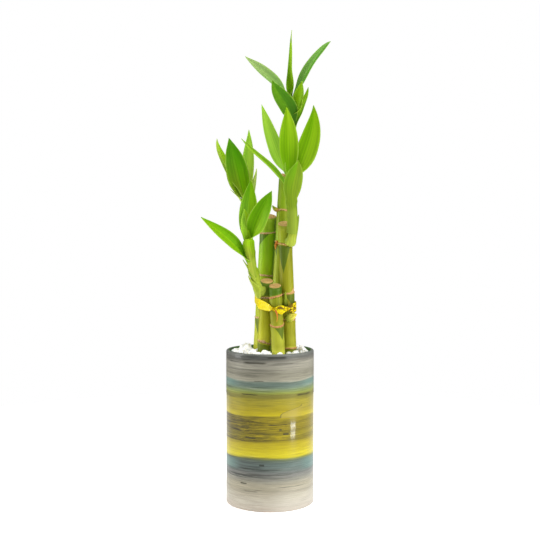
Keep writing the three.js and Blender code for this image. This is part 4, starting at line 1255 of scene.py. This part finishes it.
class BAMBOO_OT_ribbon(bpy.types.Operator):
    """Tie the canes with a film ribbon"""
    bl_idname = "bamboo.ribbon"
    bl_label = "Ribbon"

    def execute(self, context):
        settings = context.scene.bamboo_ribbon
        film = film_finish(settings)
        band = stand_in("film_ribbon", ribbon_shape(settings), ["ribbon_tie"], "ribbon", film)
        thicken(band, settings.thickness)
        return {"FINISHED"}


class BAMBOO_OT_stems(bpy.types.Operator):
    """Grow the shoots' stems"""
    bl_idname = "bamboo.stems"
    bl_label = "Stems"

    def execute(self, context):
        green = stem_finish()
        for name, shoot in SHOOTS.items():
            bm = grown_along(Cubic(shoot["curve"]), lambda t: stem_radius(shoot, t), 24, 40)
            stand_in(f"green_{name}_stem", bm, [f"{name}_shoot_stem"], "stem", green)
        return {"FINISHED"}


class BAMBOO_OT_leaves(bpy.types.Operator):
    """Grow the leaves and bracts"""
    bl_idname = "bamboo.leaves"
    bl_label = "Leaves and bracts"

    def execute(self, context):
        settings = context.scene.bamboo_leaves
        upper = leaf_finish("leaf_upper", settings)
        under = leaf_finish("leaf_under", settings, under=True)
        for facts in LEAVES:
            leaf_piece(facts, settings, "leaf", upper, under)
        for facts in BRACTS:
            leaf_piece(facts, settings, "bract", upper, upper)
        return {"FINISHED"}


# Area lights, in metres and watts: place, size and power. The sparkles make the vase's two highlights.
LIGHTS = [
    ("key_softbox", (0.95, -0.62, 0.55), (0.6, 0.8), 10.5),
    ("left_softbox", (-1.1, 0.0, 0.45), (0.5, 0.9), 9),
    ("front_softbox", (-0.35, -1.1, 0.8), (0.9, 0.6), 2.8),
    ("top_softbox", (0.0, -0.2, 1.5), (1.0, 1.0), 6.3),
    ("sparkle", (0.202, -0.13, 0.0252), (0.055, 0.0055), 0.045),
    ("sparkle", (0.202, -0.13, 0.0345), (0.055, 0.0055), 0.045),
]


class BAMBOO_OT_stage(bpy.types.Operator):
    """Set up the floor and the lights"""
    bl_idname = "bamboo.stage"
    bl_label = "Stage"

    def execute(self, context):
        settings = context.scene.bamboo_stage
        bm = bmesh.new()
        bmesh.ops.create_circle(bm, cap_ends=True, segments=96, radius=settings.table)
        floor = mesh_object("floor", bm, floor_finish(settings))
        for name, place, size, power in LIGHTS:
            self.light(name, place, size, power)
        context.scene.world = sky(settings)
        context.scene.view_settings.view_transform = "Standard"
        return {"FINISHED"}

    def light(self, name, place, size, power):
        """Adds a soft light that looks at the middle of the plant."""
        data = bpy.data.lights.new(name, "AREA")
        data.shape = "RECTANGLE"
        data.size, data.size_y = size
        data.energy = power
        lamp = linked(name, data)
        lamp.location = place
        lamp.rotation_euler = (Vector((0, 0, 0.2)) - Vector(place)).to_track_quat("-Z", "Y").to_euler()
        lamp.visible_camera = False


STEPS = (BAMBOO_OT_camera, BAMBOO_OT_vase, BAMBOO_OT_pebbles, BAMBOO_OT_canes, BAMBOO_OT_buds,
         BAMBOO_OT_ribbon, BAMBOO_OT_stems, BAMBOO_OT_leaves, BAMBOO_OT_stage)


class BAMBOO_PT_builder(bpy.types.Panel):
    """Lists the steps and their settings"""
    bl_label = "Lucky Bamboo"
    bl_idname = "BAMBOO_PT_builder"
    bl_space_type = "VIEW_3D"
    bl_region_type = "UI"
    bl_category = "Bamboo"

    def draw(self, context):
        for step in STEPS:
            self.layout.operator(step.bl_idname)
        for name, group in SETTINGS.items():
            box = self.layout.box()
            box.label(text=group.__doc__)
            for key in group.__annotations__:
                box.prop(getattr(context.scene, name), key)


def register():
    """Adds the settings, the steps and the panel to Blender."""
    for group in SETTINGS.values():
        bpy.utils.register_class(group)
    for name, group in SETTINGS.items():
        setattr(bpy.types.Scene, name, PointerProperty(type=group))
    for thing in (*STEPS, BAMBOO_PT_builder):
        bpy.utils.register_class(thing)


def unregister():
    """Takes away what register adds."""
    for thing in (BAMBOO_PT_builder, *reversed(STEPS)):
        bpy.utils.unregister_class(thing)
    for name in SETTINGS:
        delattr(bpy.types.Scene, name)
    for group in reversed(list(SETTINGS.values())):
        bpy.utils.unregister_class(group)


def main():
    """Runs every step."""
    register()
    for step in STEPS:
        getattr(bpy.ops.bamboo, step.bl_idname.split(".")[1])()


if __name__ == "__main__":
    main()
